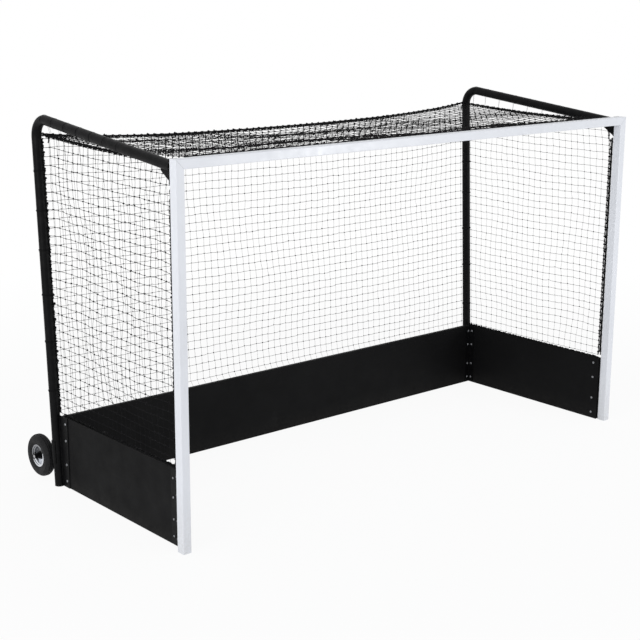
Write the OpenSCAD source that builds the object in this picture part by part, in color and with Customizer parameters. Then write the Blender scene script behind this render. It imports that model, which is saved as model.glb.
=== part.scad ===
// Wheeled field-hockey goal: white mitred front frame, bent rear tubes, three boards, netting.
// X runs across the mouth, +Y from the mouth to the back, +Z up. The origin lies on the
// ground in the middle of the overall box; the builders below count Y from the posts' front.

/* [Mouth and frame] */
// Clear width between the posts, mm
mouth_w = 3660; // [2400:10:4000]
// Clear height under the crossbar, mm
mouth_h = 2140; // [1600:10:2400]
// Face width of the posts and the crossbar, mm
face_w = 54; // [46:1:70]
// Depth of the posts and the crossbar, mm
frame_depth = 60; // [50:1:80]
// Wall of the frame profile, mm
frame_wall = 3; // [2:0.5:5]
// Outer corner radius of the frame profile, mm
frame_corner = 4; // [3.5:0.5:8]
// Length of each arm of the corner inserts, mm
joiner_arm = 130; // [100:5:200]

/* [Rear tubes] */
// Outer diameter of the bent side tubes, mm
tube_d = 60; // [48:1:66]
// Wall of the side tubes, mm
tube_wall = 3; // [2:0.5:5]
// Centreline radius of the top bend, mm
bend_r = 105; // [90:5:180]
// Rise of the arm towards the back, degrees
arm_rise = 6; // [2:0.5:10]
// Backward lean of the leg, degrees
leg_lean = 2.6; // [1:0.1:4]
// Height of the arm's centre where it leaves the post, below the top of the crossbar, mm
arm_drop = 44; // [36:1:60]
// Gap between the back board and the foot of the leg, mm
leg_gap = 2; // [1:1:20]

/* [Boards] */
// Height of the side and back boards, mm
board_h = 460; // [400:5:520]
// Thickness of the boards, mm
board_t = 25; // [20:1:30]
// Distance from the posts' front to the back board, mm
inner_depth = 1335; // [1150:5:1500]
// How far the side boards' inner faces stand inside the mouth's sides, mm
board_inset = 13; // [10:1:16]
// Gap under the boards, mm
board_lift = 2; // [1:1:10]

/* [Fixings] */
// Diameter of the board bolts, mm
bolt_d = 8; // [6:1:10]
// Head diameter of the board bolts, mm
bolt_head_d = 17; // [13:1:20]
// Head height of the board bolts, mm
bolt_head_h = 4; // [3:0.5:6]
// Distance of the outer bolt rows from the board's edges, mm
bolt_edge = 44; // [30:1:60]
// Distance from an outer bolt row to the next one, mm
bolt_pitch = 108; // [80:2:130]
// Leg length of the angle strips, mm
angle_leg = 46; // [40:1:60]
// Thickness of the angle strips and leg plates, mm
plate_t = 5; // [4:0.5:6]

/* [Wheels] */
// Outer diameter of the wheels, mm
wheel_d = 272; // [240:2:300]
// Width of the tyres, mm
tyre_w = 70; // [62:1:90]
// Diameter of the rims' bead seats, mm
rim_d = 128; // [112:1:136]
// Diameter of the axles, mm
axle_d = 20; // [16:1:24]
// Gap between the wheels and the ground, mm
wheel_lift = 20; // [10:1:80]
// Gap between the wheel and the back of the leg at axle height, mm
wheel_gap = 10; // [8:1:60]

/* [Netting] */
// Diameter of the head ropes, mm
head_rope_d = 14; // [10:1:16]
// Diameter of the border ropes, mm
border_rope_d = 9; // [8:1:12]
// Diameter of the net rods, mm
net_rod_d = 8; // [6:1:12]
// Width of the net's strands, mm
strand_w = 5; // [3:0.5:8]
// Thickness of the net's strands, mm
strand_t = 3; // [2:0.5:5]
// Gaps across the back net and the top net
net_columns = 18; // [6:1:22]
// Rows of gaps in the back net and the side nets
net_rows = 9; // [4:1:10]
// Rows of gaps from front to back in the top net and the side nets
net_depth_rows = 6; // [3:1:7]

/* [Hidden] */

white = [0.93, 0.94, 0.96];
black = [0.11, 0.11, 0.12];
board_grey = [0.17, 0.17, 0.18];
steel = [0.62, 0.63, 0.65];
chrome = [0.82, 0.83, 0.85];
rubber = [0.07, 0.07, 0.075];
rope_black = [0.05, 0.05, 0.055];

eps = 1;
round_fn = 48;
small_fn = 24;

// frame
mouth_half = mouth_w / 2;
frame_half = mouth_half + face_w;
frame_top = mouth_h + face_w;
joiner_gap = 0.3;
cap_flange = 2;
cap_gap = 0.3;
cap_plug = 25;
screw_r = 3;
screw_gap = 0.2;
thread_gap = 0.05;
screw_head_r = 5.5;
screw_head_h = 3;
screw_bite = 12;
bar_screw_in = 45;
bar_screw_pitch = 50;
bar_screw_x = [mouth_half - bar_screw_in, mouth_half - bar_screw_in - bar_screw_pitch];

// rear tubes
tube_r = tube_d / 2;
tube_x = mouth_half + face_w / 2;
board_back = inner_depth + board_t;
leg_y = board_back + leg_gap + tube_r;
bracket_flange_t = 6;
arm_y = frame_depth;
arm_z = frame_top - arm_drop;
tan_rise = tan(arm_rise);
tan_lean = tan(leg_lean);
knee_y = (leg_y + tan_lean * (arm_z - arm_y * tan_rise)) / (1 - tan_lean * tan_rise);
knee_z = arm_z + (knee_y - arm_y) * tan_rise;
bend_turn = 90 + arm_rise + leg_lean;
bend_leg = bend_r * tan(bend_turn / 2);
arm_run = (knee_y - arm_y) / cos(arm_rise) - bend_leg;
leg_run = knee_z / cos(leg_lean) - bend_leg;
bend_y = arm_y + arm_run * cos(arm_rise) + bend_r * sin(arm_rise);
bend_z = arm_z + arm_run * sin(arm_rise) - bend_r * cos(arm_rise);
foot_flange = 3;
// a bend's ends stay this far from the straight runs, so that their curved faces never cross
tube_seam = 0.02;

// top brackets
web_t = 6;
web_drop = 62;
web_reach = 116;
web_toe = 12;
bracket_bottom = arm_z - tube_r - web_drop;
bracket_bolt_rows = [bracket_bottom + 14, bracket_bottom + 44];
bracket_bolt_x = 17;

// boards
board_in = mouth_half - board_inset;
board_out = board_in + board_t;
board_top = board_lift + board_h;
end_gap = 2;
board_front = frame_depth + plate_t + end_gap;
bolt_r = bolt_d / 2;
bolt_rows = [
    board_lift + bolt_edge,
    board_lift + bolt_edge + bolt_pitch,
    board_top - bolt_edge - bolt_pitch,
    board_top - bolt_edge
];
tongue_x = mouth_half + 1;
tongue_reach = 80;
tongue_inset = 10;
slot_gap = 0.4;
front_bolt_y = board_front + 46;
corner_bolt_y = inner_depth - angle_leg / 2;
corner_bolt_x = board_in - angle_leg / 2;
angle_screw_x = tongue_x + 30;
angle_screw_edge = 88;
angle_screw_z = [board_lift + angle_screw_edge, board_lift + board_h / 2, board_top - angle_screw_edge];

// wheels
wheel_r = wheel_d / 2;
axle_r = axle_d / 2;
axle_z = wheel_lift + wheel_r;
axle_y = leg_y + axle_z * tan_lean + tube_r + wheel_gap + wheel_r;
ear_t = 8;
ear_r = 34;
ear_out = tube_x - tube_r + 3;
saddle_t = 5;
saddle_low = 150;
saddle_high = 295;
saddle_wrap = 20;
run_gap = 0.05;
side_gap = 0.3;
spacer_w = 10;
hub_over = 2;
hub_half = tyre_w / 2 + hub_over;
wheel_x = ear_out + spacer_w + 2 * side_gap + hub_half;
hub_r = axle_r + 8;
bearing_r = axle_r + 5.5;
bearing_w = 10;
hub_flange_r = hub_r + 9;
hub_flange_t = 4;
rim_t = 2.5;
seat_half = 24;
seat_drop = 5;
rim_lip = 8;
rim_bolt_ring = (hub_flange_r + rim_d / 2 - seat_drop) / 2;
rim_bolt_r = 3;
rim_bolt_count = 4;
bead_gap = 0.2;
tread_flat = 1.5;
side_flat = 2;
groove_w = 4;
groove_deep = 4;
groove_pitch = 13;
axle_head_h = 10;
washer_t = 2;
nut_h = 11;
nut_r = axle_r + 6;

// overall depth, from the posts' front to the back of the wheels or of the bends
overall_depth = max(axle_y + wheel_r, bend_y + bend_r + tube_r);

// net fixings
rod_r = net_rod_d / 2;
net_rod_y = frame_depth + 12;
net_rod_x = mouth_half + 10;
rod_low = board_top + 20;
rod_high = bracket_bottom - 10;
bar_rod_half = mouth_half - 50;
bar_rod_z = frame_top - 10;
lug_w = 12;
post_lug_end = 30;
bar_lug_end = 40;
post_lugs = 5;
bar_lugs = 10;
eye_t = 6;
eye_r = 12;
eye_hole_r = 6;
front_eye_x = mouth_half - 16;
front_eye_z = mouth_h + 16;
eye_turn = 5;
rear_eye_x = tube_x - tube_r - 9;
rear_eye_y = bend_y + bend_r * cos(eye_turn);
rear_eye_z = bend_z + bend_r * sin(eye_turn);
border_r = border_rope_d / 2;
tie_gap = 0.2;
border_x = board_in + board_t / 2;
border_off = sqrt(pow(tube_r + border_r + tie_gap, 2) - pow(tube_x - border_x, 2));
border_low = board_top + 15;
border_high = leg_run - 10;
cleat_w = 10;
cleat_h = border_rope_d + 2.5;
cleat_d = border_rope_d + 4;
side_rope_x = board_in + cleat_d / 2;
side_rope_z = board_top + border_r + tie_gap;
back_rope_y = board_back + border_r + tie_gap;
back_rope_z = board_top - 20;
side_cleats = 4;
side_cleat_end = 60;
back_cleat_end = 80;
back_cleats = 10;

// net surfaces, from strand edge to strand edge
net_gap = 4;
net_low = board_top + border_rope_d + net_gap;
back_net_low = back_rope_z + border_r + net_gap;
net_front = net_rod_y + rod_r + net_gap;
side_net_top_front = front_eye_z - 14;
side_net_top_rear = rear_eye_z - 16;
side_net_top_x = front_eye_x + 2;
top_net_half = front_eye_x - 14;
top_net_front_z = bar_rod_z - 18;
top_net_rear_y = rear_eye_y - 26;
back_net_top_y = rear_eye_y - 4;
back_net_low_y = back_rope_y + 4;
back_net_half = board_in;
rope_under = 14;
rope_sag = 67;
side_sag = 14;

// the head ropes' routes, chosen by hand in the finished frame
side_rope_points = [
    [1814, -789, 2156], [1813, -700, 2155], [1812, -610, 2155], [1812, -520, 2156],
    [1811, -430, 2156], [1811, -340, 2157], [1811, -250, 2159], [1811, -160, 2161],
    [1811, -70, 2163], [1811, 20, 2165], [1812, 110, 2168], [1812, 200, 2172],
    [1813, 290, 2175], [1814, 380, 2180], [1815, 460, 2184], [1816, 540, 2188],
    [1817, 628, 2193]
];
rear_rope_points = [
    [-1805, 632, 2193], [-1700, 630, 2180], [-1560, 628, 2167], [-1400, 626, 2156],
    [-1200, 624, 2145], [-1000, 622, 2137], [-800, 620, 2132], [-500, 618, 2127],
    [-200, 618, 2125], [0, 618, 2125], [200, 618, 2125], [500, 618, 2127],
    [800, 620, 2132], [1000, 622, 2137], [1200, 624, 2145], [1400, 626, 2156],
    [1560, 628, 2167], [1700, 630, 2180], [1805, 632, 2193]
];
rope_sides = 8;

// ---------- helpers ----------

// moves a piece from the builders' frame, with Y from the posts' front, to the origin's frame
module place() {
    translate([0, -overall_depth / 2, 0]) children();
}

// mirrors a right-hand piece for the left side
module on_side(side) {
    if (side < 0) {
        mirror([1, 0, 0]) children();
    } else {
        children();
    }
}

// a shape drawn in X and Z, from y0 to y1
module across_y(y0, y1) {
    translate([0, y1, 0]) rotate([90, 0, 0]) linear_extrude(y1 - y0) children();
}

// a shape drawn in Y and Z, from x0 to x1
module across_x(x0, x1) {
    translate([x0, 0, 0]) rotate([90, 0, 90]) linear_extrude(x1 - x0) children();
}

// a round bar along X from x0 to x1
module rod_x(x0, x1, y, z, r, fn = small_fn) {
    translate([x0, y, z]) rotate([0, 90, 0]) cylinder(h = x1 - x0, r = r, $fn = fn);
}

// a round bar along Y from y0 to y1
module rod_y(y0, y1, x, z, r, fn = small_fn) {
    translate([x, y0, z]) rotate([-90, 0, 0]) cylinder(h = y1 - y0, r = r, $fn = fn);
}

module rounded_rectangle(size, radius) {
    translate([radius, 0]) square([size.x - 2 * radius, size.y]);
    translate([0, radius]) square([size.x, size.y - 2 * radius]);
    for (x = [radius, size.x - radius], y = [radius, size.y - radius]) {
        translate([x, y]) circle(r = radius, $fn = small_fn);
    }
}

module frame_profile(size) {
    difference() {
        rounded_rectangle(size, frame_corner);
        translate([frame_wall, frame_wall])
            rounded_rectangle([size.x - 2 * frame_wall, size.y - 2 * frame_wall], frame_corner - frame_wall);
    }
}

// the leg's centreline at height z
function leg_centre_y(z) = leg_y + z * tan_lean;

// children stand on the foot of the right leg, with Z along the leg
module along_leg() {
    translate([tube_x, leg_y, 0]) rotate([-leg_lean, 0, 0]) children();
}

// the right leg as a full round, for cutting what is welded to it
module leg_round(r = tube_r) {
    along_leg() translate([0, 0, -20]) cylinder(h = leg_run, r = r, $fn = round_fn);
}

// the right arm as a full round
module arm_round(r = tube_r) {
    translate([tube_x, arm_y, arm_z]) rotate([arm_rise - 90, 0, 0])
        translate([0, 0, -40]) cylinder(h = arm_run + 40, r = r, $fn = round_fn);
}

// a round-headed screw along +Y, its head's underside at the origin
module rear_screw(length) {
    rod_y(-length, 0, 0, 0, screw_r);
    difference() {
        rod_y(0, screw_head_h, 0, 0, screw_head_r);
        rod_y(screw_head_h - 1.5, screw_head_h + eps, 0, 0, 2.5, 6);
    }
}

// a domed bolt head that stands on z = 0
module bolt_head() {
    difference() {
        rotate_extrude($fn = small_fn) polygon([
            [0, 0], [bolt_head_d / 2, 0], [bolt_head_d / 2, bolt_head_h * 0.4],
            [bolt_head_d * 0.36, bolt_head_h], [0, bolt_head_h]
        ]);
        translate([0, 0, bolt_head_h - 1.5]) cylinder(h = 3, r = bolt_r * 0.75, $fn = 6);
    }
}

// a bolt with its sleeve nut through thickness t along +X, from the face at the origin
module through_bolt(t) {
    rod_x(-eps, t + eps, 0, 0, bolt_r);
    translate([t, 0, 0]) rotate([0, 90, 0]) bolt_head();
    rotate([0, -90, 0]) bolt_head();
}

// ---------- front frame ----------

module post() {
    difference() {
        translate([mouth_half, 0, cap_flange])
            linear_extrude(frame_top - cap_flange) frame_profile([face_w, frame_depth]);
        across_y(-eps, frame_depth + eps) polygon([
            [mouth_half - eps, mouth_h - eps],
            [frame_half + eps, frame_top + eps],
            [mouth_half - eps, frame_top + eps]
        ]);
        for (x = [-1, 1], z = bracket_bolt_rows) {
            rod_y(frame_depth - 10, frame_depth + eps, tube_x + x * bracket_bolt_x, z, screw_r + screw_gap);
        }
        for (z = angle_screw_z) {
            rod_y(frame_depth - 10, frame_depth + eps, angle_screw_x, z, screw_r + screw_gap);
        }
    }
}

module left_post() {
    color(white) place() on_side(-1) post();
}

module right_post() {
    color(white) place() on_side(1) post();
}

module crossbar() {
    color(white) place() difference() {
        across_x(-frame_half, frame_half) translate([0, mouth_h]) frame_profile([frame_depth, face_w]);
        for (side = [-1, 1]) on_side(side) {
            across_y(-eps, frame_depth + eps) polygon([
                [mouth_half - eps, mouth_h - eps],
                [frame_half + eps, frame_top + eps],
                [frame_half + eps, mouth_h - eps]
            ]);
            for (x = bar_screw_x) {
                rod_y(frame_depth - 10, frame_depth + eps, x, mouth_h + face_w / 2, screw_r + screw_gap);
            }
        }
    }
}

module corner_joiner() {
    inset = frame_wall + joiner_gap;
    difference() {
        across_y(inset, frame_depth - inset) polygon([
            [mouth_half - joiner_arm, mouth_h + inset],
            [mouth_half + inset, mouth_h + inset],
            [mouth_half + inset, mouth_h - joiner_arm],
            [frame_half - inset, mouth_h - joiner_arm],
            [frame_half - inset, frame_top - inset],
            [mouth_half - joiner_arm, frame_top - inset]
        ]);
        for (x = [-1, 1], z = bracket_bolt_rows) {
            rod_y(frame_depth - 24, frame_depth, tube_x + x * bracket_bolt_x, z, screw_r + thread_gap);
        }
        for (x = bar_screw_x) {
            rod_y(frame_depth - 24, frame_depth, x, mouth_h + face_w / 2, screw_r + thread_gap);
        }
    }
}

module left_corner_joiner() {
    color(steel) place() on_side(-1) corner_joiner();
}

module right_corner_joiner() {
    color(steel) place() on_side(1) corner_joiner();
}

module corner_screws() {
    color(steel) place() for (side = [-1, 1], x = bar_screw_x) {
        on_side(side) translate([x, frame_depth, mouth_h + face_w / 2]) rear_screw(screw_bite + frame_wall);
    }
}

module post_foot_caps() {
    plug_inset = frame_wall + cap_gap;
    color(white) place() for (side = [-1, 1]) on_side(side) {
        translate([mouth_half, 0, 0]) linear_extrude(cap_flange)
            rounded_rectangle([face_w, frame_depth], frame_corner);
        translate([mouth_half + plug_inset, plug_inset, cap_flange - 0.5])
            cube([face_w - 2 * plug_inset, frame_depth - 2 * plug_inset, cap_plug]);
    }
}

// ---------- rear tubes and their fixings ----------

// the right side tube's three runs as full rounds; extra lengthens both ends
module arm_bar(r, extra = 0) {
    translate([tube_x, arm_y, arm_z]) rotate([arm_rise - 90, 0, 0])
        translate([0, 0, -extra])
            cylinder(h = arm_run - tube_seam + 2 * extra, r = r, $fn = round_fn);
}

module bend_bar(r, extra = 0) {
    translate([tube_x, bend_y, bend_z]) rotate([90, 0, 90]) rotate([0, 0, -leg_lean - extra])
        rotate_extrude(angle = bend_turn + 2 * extra, $fn = 2 * round_fn)
            translate([bend_r, 0]) circle(r = r, $fn = round_fn);
}

module leg_bar(r, extra = 0) {
    along_leg() translate([0, 0, -20 - extra])
        cylinder(h = leg_run + 20 - tube_seam + 2 * extra, r = r, $fn = round_fn);
}

module side_tube() {
    bore_r = tube_r - tube_wall;
    difference() {
        arm_bar(tube_r);
        arm_bar(bore_r, eps);
        translate([tube_x - tube_d, -2 * tube_d, mouth_h - tube_d])
            cube([2 * tube_d, 2 * tube_d + frame_depth + bracket_flange_t, 4 * tube_d]);
    }
    difference() {
        bend_bar(tube_r);
        bend_bar(bore_r, eps);
    }
    difference() {
        leg_bar(tube_r);
        leg_bar(bore_r, eps);
        translate([tube_x - tube_d, leg_y - tube_d, -2 * tube_d])
            cube([2 * tube_d, 2 * tube_d, 2 * tube_d + foot_flange]);
    }
}

module left_side_tube() {
    color(black) place() on_side(-1) side_tube();
}

module right_side_tube() {
    color(black) place() on_side(1) side_tube();
}

module leg_foot_caps() {
    color(black) place() for (side = [-1, 1]) on_side(side) {
        translate([tube_x, leg_y, 0]) cylinder(h = foot_flange, r = tube_r + 1, $fn = round_fn);
        intersection() {
            along_leg() cylinder(h = cap_plug, r = tube_r - tube_wall - cap_gap, $fn = round_fn);
            translate([tube_x - tube_d, leg_y - tube_d, foot_flange - 0.5]) cube(2 * tube_d);
        }
    }
}

module top_bracket() {
    difference() {
        union() {
            translate([mouth_half, frame_depth, bracket_bottom])
                cube([face_w, bracket_flange_t, frame_top - bracket_bottom]);
            across_x(tube_x - web_t / 2, tube_x + web_t / 2) polygon([
                [frame_depth + 1, bracket_bottom],
                [frame_depth + bracket_flange_t + web_toe, bracket_bottom],
                [frame_depth + web_reach, arm_z - tube_r + web_reach * tan_rise - web_toe],
                [frame_depth + web_reach, arm_z + web_reach * tan_rise],
                [frame_depth + 1, arm_z]
            ]);
        }
        intersection() {
            arm_round();
            translate([tube_x - tube_d, frame_depth + bracket_flange_t, mouth_h - tube_d])
                cube([2 * tube_d, 4 * tube_d, 4 * tube_d]);
        }
        for (x = [-1, 1], z = bracket_bolt_rows) {
            rod_y(frame_depth - eps, frame_depth + bracket_flange_t + eps,
                tube_x + x * bracket_bolt_x, z, screw_r + screw_gap);
        }
    }
}

module left_top_bracket() {
    color(black) place() on_side(-1) top_bracket();
}

module right_top_bracket() {
    color(black) place() on_side(1) top_bracket();
}

module bracket_bolts() {
    color(steel) place() for (side = [-1, 1], x = [-1, 1], z = bracket_bolt_rows) {
        on_side(side) translate([tube_x + x * bracket_bolt_x, frame_depth + bracket_flange_t, z])
            rear_screw(screw_bite + frame_wall + bracket_flange_t);
    }
}

// ---------- boards and their fixings ----------

module front_angle() {
    low = board_lift + tongue_inset;
    high = board_top - tongue_inset;
    difference() {
        translate([0, 0, low]) linear_extrude(high - low) polygon([
            [tongue_x, frame_depth],
            [tongue_x + angle_leg - 2, frame_depth],
            [tongue_x + angle_leg - 2, frame_depth + plate_t],
            [tongue_x + plate_t, frame_depth + plate_t],
            [tongue_x + plate_t, frame_depth + tongue_reach],
            [tongue_x, frame_depth + tongue_reach]
        ]);
        for (z = bolt_rows) {
            rod_x(tongue_x - eps, tongue_x + plate_t + eps, front_bolt_y, z, bolt_r + screw_gap);
        }
        for (z = angle_screw_z) {
            rod_y(frame_depth - eps, frame_depth + plate_t + eps, angle_screw_x, z, screw_r + screw_gap);
        }
    }
}

module left_front_angle() {
    color(black) place() on_side(-1) front_angle();
}

module right_front_angle() {
    color(black) place() on_side(1) front_angle();
}

module front_angle_screws() {
    color(steel) place() for (side = [-1, 1], z = angle_screw_z) {
        on_side(side) translate([angle_screw_x, frame_depth + plate_t, z])
            rear_screw(frame_wall + plate_t + 4);
    }
}

module side_board() {
    difference() {
        translate([board_in, board_front, board_lift]) cube([board_t, board_back - board_front, board_h]);
        translate([tongue_x - slot_gap, board_front - eps, board_lift - eps])
            cube([
                plate_t + 2 * slot_gap,
                frame_depth + tongue_reach + 3 - board_front,
                board_h - tongue_inset + eps
            ]);
        for (z = bolt_rows, y = [front_bolt_y, corner_bolt_y]) {
            rod_x(board_in - eps, board_out + eps, y, z, bolt_r + screw_gap);
        }
    }
}

module left_side_board() {
    color(board_grey) place() on_side(-1) side_board();
}

module right_side_board() {
    color(board_grey) place() on_side(1) side_board();
}

module back_board() {
    color(board_grey) place() difference() {
        translate([-board_in, inner_depth, board_lift]) cube([2 * board_in, board_t, board_h]);
        for (side = [-1, 1], z = bolt_rows) {
            on_side(side) rod_y(inner_depth - eps, board_back + eps, corner_bolt_x, z, bolt_r + screw_gap);
        }
    }
}

module front_board_bolts() {
    color(steel) place() for (side = [-1, 1], z = bolt_rows) {
        on_side(side) translate([board_in, front_bolt_y, z]) through_bolt(board_t);
    }
}

module corner_angle() {
    low = board_lift + tongue_inset;
    high = board_top - tongue_inset;
    difference() {
        translate([0, 0, low]) linear_extrude(high - low) polygon([
            [board_in, inner_depth],
            [board_in - angle_leg, inner_depth],
            [board_in - angle_leg, inner_depth - plate_t],
            [board_in - plate_t, inner_depth - plate_t],
            [board_in - plate_t, inner_depth - angle_leg],
            [board_in, inner_depth - angle_leg]
        ]);
        for (z = bolt_rows) {
            rod_x(board_in - plate_t - eps, board_in + eps, corner_bolt_y, z, bolt_r + screw_gap);
            rod_y(inner_depth - plate_t - eps, inner_depth + eps, corner_bolt_x, z, bolt_r + screw_gap);
        }
    }
}

module left_corner_angle() {
    color(board_grey) place() on_side(-1) corner_angle();
}

module right_corner_angle() {
    color(board_grey) place() on_side(1) corner_angle();
}

module leg_plate() {
    front = inner_depth - angle_leg;
    difference() {
        across_x(board_out, board_out + plate_t) polygon([
            [front, board_lift],
            [leg_centre_y(board_lift), board_lift],
            [leg_centre_y(board_top), board_top],
            [front, board_top]
        ]);
        leg_round();
        for (z = bolt_rows) {
            rod_x(board_out - eps, board_out + plate_t + eps, corner_bolt_y, z, bolt_r + screw_gap);
        }
    }
}

module left_leg_plate() {
    color(black) place() on_side(-1) leg_plate();
}

module right_leg_plate() {
    color(black) place() on_side(1) leg_plate();
}

module corner_bolts() {
    color(steel) place() for (side = [-1, 1], z = bolt_rows) {
        on_side(side) translate([board_in - plate_t, corner_bolt_y, z]) through_bolt(board_t + 2 * plate_t);
    }
}

module back_board_bolts() {
    color(steel) place() for (side = [-1, 1], z = bolt_rows) {
        on_side(side) translate([corner_bolt_x, inner_depth - plate_t, z]) rotate([0, 0, 90])
            through_bolt(board_t + plate_t);
    }
}

// ---------- wheels ----------

module wheel_bracket() {
    difference() {
        union() {
            across_x(ear_out - ear_t, ear_out) {
                polygon([
                    [leg_centre_y(saddle_low), saddle_low],
                    [axle_y, axle_z - ear_r],
                    [axle_y, axle_z + ear_r],
                    [leg_centre_y(saddle_high), saddle_high]
                ]);
                translate([axle_y, axle_z]) circle(r = ear_r, $fn = round_fn);
            }
            intersection() {
                along_leg() translate([0, 0, saddle_low])
                    cylinder(h = saddle_high - saddle_low, r = tube_r + saddle_t, $fn = round_fn);
                across_x(tube_x - 2 * tube_r, tube_x + 2 * tube_r) polygon([
                    [leg_centre_y(0) - saddle_wrap, 0],
                    [leg_centre_y(0) + 2 * tube_r, 0],
                    [leg_centre_y(board_h) + 2 * tube_r, board_h],
                    [leg_centre_y(board_h) - saddle_wrap, board_h]
                ]);
            }
        }
        leg_round();
        rod_x(ear_out - ear_t - eps, ear_out + eps, axle_y, axle_z, axle_r + screw_gap, round_fn);
    }
}

module left_wheel_bracket() {
    color(black) place() on_side(-1) wheel_bracket();
}

module right_wheel_bracket() {
    color(black) place() on_side(1) wheel_bracket();
}

// children lie on the wheel's axis, with Z outwards from the wheel's middle
module on_axle() {
    translate([wheel_x, axle_y, axle_z]) rotate([0, 90, 0]) children();
}

module axle() {
    inner_end = ear_out - ear_t - wheel_x;
    outer_end = hub_half + side_gap + washer_t + nut_h + 2;
    on_axle() {
        translate([0, 0, inner_end - eps])
            cylinder(h = outer_end - inner_end + eps, r = axle_r, $fn = round_fn);
        translate([0, 0, inner_end - axle_head_h]) cylinder(h = axle_head_h, r = nut_r, $fn = 6);
    }
}

module left_axle() {
    color(steel) place() on_side(-1) axle();
}

module right_axle() {
    color(steel) place() on_side(1) axle();
}

module axle_nuts() {
    color(black) place() for (side = [-1, 1]) on_side(side) on_axle() difference() {
        union() {
            translate([0, 0, hub_half + side_gap]) cylinder(h = washer_t, r = hub_r, $fn = round_fn);
            translate([0, 0, hub_half + side_gap + washer_t - 0.1])
                cylinder(h = nut_h + 0.1, r = nut_r, $fn = 6);
        }
        translate([0, 0, hub_half]) cylinder(h = 2 * nut_h, r = axle_r + run_gap, $fn = round_fn);
    }
}

module axle_spacers() {
    color(steel) place() for (side = [-1, 1]) on_side(side) on_axle() difference() {
        translate([0, 0, ear_out - wheel_x]) cylinder(h = spacer_w, r = hub_r, $fn = round_fn);
        translate([0, 0, ear_out - wheel_x - eps])
            cylinder(h = spacer_w + 2 * eps, r = axle_r + run_gap, $fn = round_fn);
    }
}

// the tyre's cross-section: X is the radius, Y runs across the tread
module tyre_section() {
    section_r = tyre_w / 2 + side_flat;
    middle = wheel_r + tread_flat - section_r;
    seat = rim_d / 2 + bead_gap;
    difference() {
        intersection() {
            union() {
                translate([middle, 0]) circle(r = section_r, $fn = round_fn);
                translate([seat - eps, bead_gap - seat_half])
                    square([middle - seat + eps, 2 * (seat_half - bead_gap)]);
            }
            translate([seat, -tyre_w / 2]) square([wheel_r - seat, tyre_w]);
        }
        for (side = [-1, 1]) {
            translate([seat - eps, side > 0 ? seat_half - bead_gap : -tyre_w])
                square([rim_lip + 2 * eps, tyre_w - seat_half + bead_gap]);
        }
        for (g = [-1, 0, 1]) {
            translate([wheel_r - groove_deep - abs(g), g * groove_pitch - groove_w / 2])
                square([groove_deep + 2, groove_w]);
        }
    }
}

module tyre() {
    on_axle() rotate_extrude($fn = 2 * round_fn) tyre_section();
}

module left_tyre() {
    color(rubber) place() on_side(-1) tyre();
}

module right_tyre() {
    color(rubber) place() on_side(1) tyre();
}

// one pressed half of the rim, on the outer side of the wheel's middle
module rim_half() {
    seat = rim_d / 2;
    difference() {
        rotate_extrude($fn = round_fn) polygon([
            [hub_r + run_gap, 0],
            [seat - seat_drop, 0],
            [seat - seat_drop, seat_half - 8],
            [seat, seat_half - 4],
            [seat, seat_half],
            [seat + rim_lip, seat_half],
            [seat + rim_lip, seat_half + rim_t],
            [seat - rim_t, seat_half + rim_t],
            [seat - rim_t, seat_half - 3],
            [seat - seat_drop - rim_t, seat_half - 7],
            [seat - seat_drop - rim_t, rim_t],
            [hub_r + run_gap, rim_t]
        ]);
        for (i = [0 : rim_bolt_count - 1]) {
            rotate([0, 0, 45 + i * 360 / rim_bolt_count]) translate([rim_bolt_ring, 0, -eps])
                cylinder(h = rim_t + 2 * eps, r = rim_bolt_r + screw_gap, $fn = small_fn);
        }
    }
}

module left_rim_outer() {
    color(chrome) place() on_side(-1) on_axle() rim_half();
}

module right_rim_outer() {
    color(chrome) place() on_side(1) on_axle() rim_half();
}

module left_rim_inner() {
    color(chrome) place() on_side(-1) on_axle() mirror([0, 0, 1]) rim_half();
}

module right_rim_inner() {
    color(chrome) place() on_side(1) on_axle() mirror([0, 0, 1]) rim_half();
}

module rim_bolts() {
    on_axle() for (i = [0 : rim_bolt_count - 1]) {
        rotate([0, 0, 45 + i * 360 / rim_bolt_count]) translate([rim_bolt_ring, 0, 0]) {
            translate([0, 0, -rim_t - 1]) cylinder(h = 2 * rim_t + 2, r = rim_bolt_r, $fn = small_fn);
            translate([0, 0, rim_t]) cylinder(h = 4, r = 2 * rim_bolt_r, $fn = 6);
            translate([0, 0, -rim_t - 4]) cylinder(h = 4, r = 2 * rim_bolt_r, $fn = 6);
        }
    }
}

module left_rim_bolts() {
    color(steel) place() on_side(-1) rim_bolts();
}

module right_rim_bolts() {
    color(steel) place() on_side(1) rim_bolts();
}

module hub() {
    on_axle() difference() {
        union() {
            translate([0, 0, -hub_half]) cylinder(h = 2 * hub_half, r = hub_r, $fn = round_fn);
            translate([0, 0, rim_t]) cylinder(h = hub_flange_t, r = hub_flange_r, $fn = round_fn);
            translate([0, 0, -rim_t - hub_flange_t])
                cylinder(h = hub_flange_t, r = hub_flange_r, $fn = round_fn);
        }
        translate([0, 0, -hub_half - eps])
            cylinder(h = 2 * hub_half + 2 * eps, r = bearing_r - 1.5, $fn = round_fn);
        for (z = [-hub_half - eps, hub_half - bearing_w]) {
            translate([0, 0, z]) cylinder(h = bearing_w + eps, r = bearing_r, $fn = round_fn);
        }
    }
}

module left_hub() {
    color(black) place() on_side(-1) hub();
}

module right_hub() {
    color(black) place() on_side(1) hub();
}

module bearings() {
    on_axle() for (z = [-hub_half, hub_half - bearing_w]) {
        translate([0, 0, z]) difference() {
            cylinder(h = bearing_w, r = bearing_r - run_gap, $fn = round_fn);
            translate([0, 0, -eps]) cylinder(h = bearing_w + 2 * eps, r = axle_r + run_gap, $fn = round_fn);
        }
    }
}

module left_bearings() {
    color(steel) place() on_side(-1) bearings();
}

module right_bearings() {
    color(steel) place() on_side(1) bearings();
}

// ---------- net fixings ----------

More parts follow.
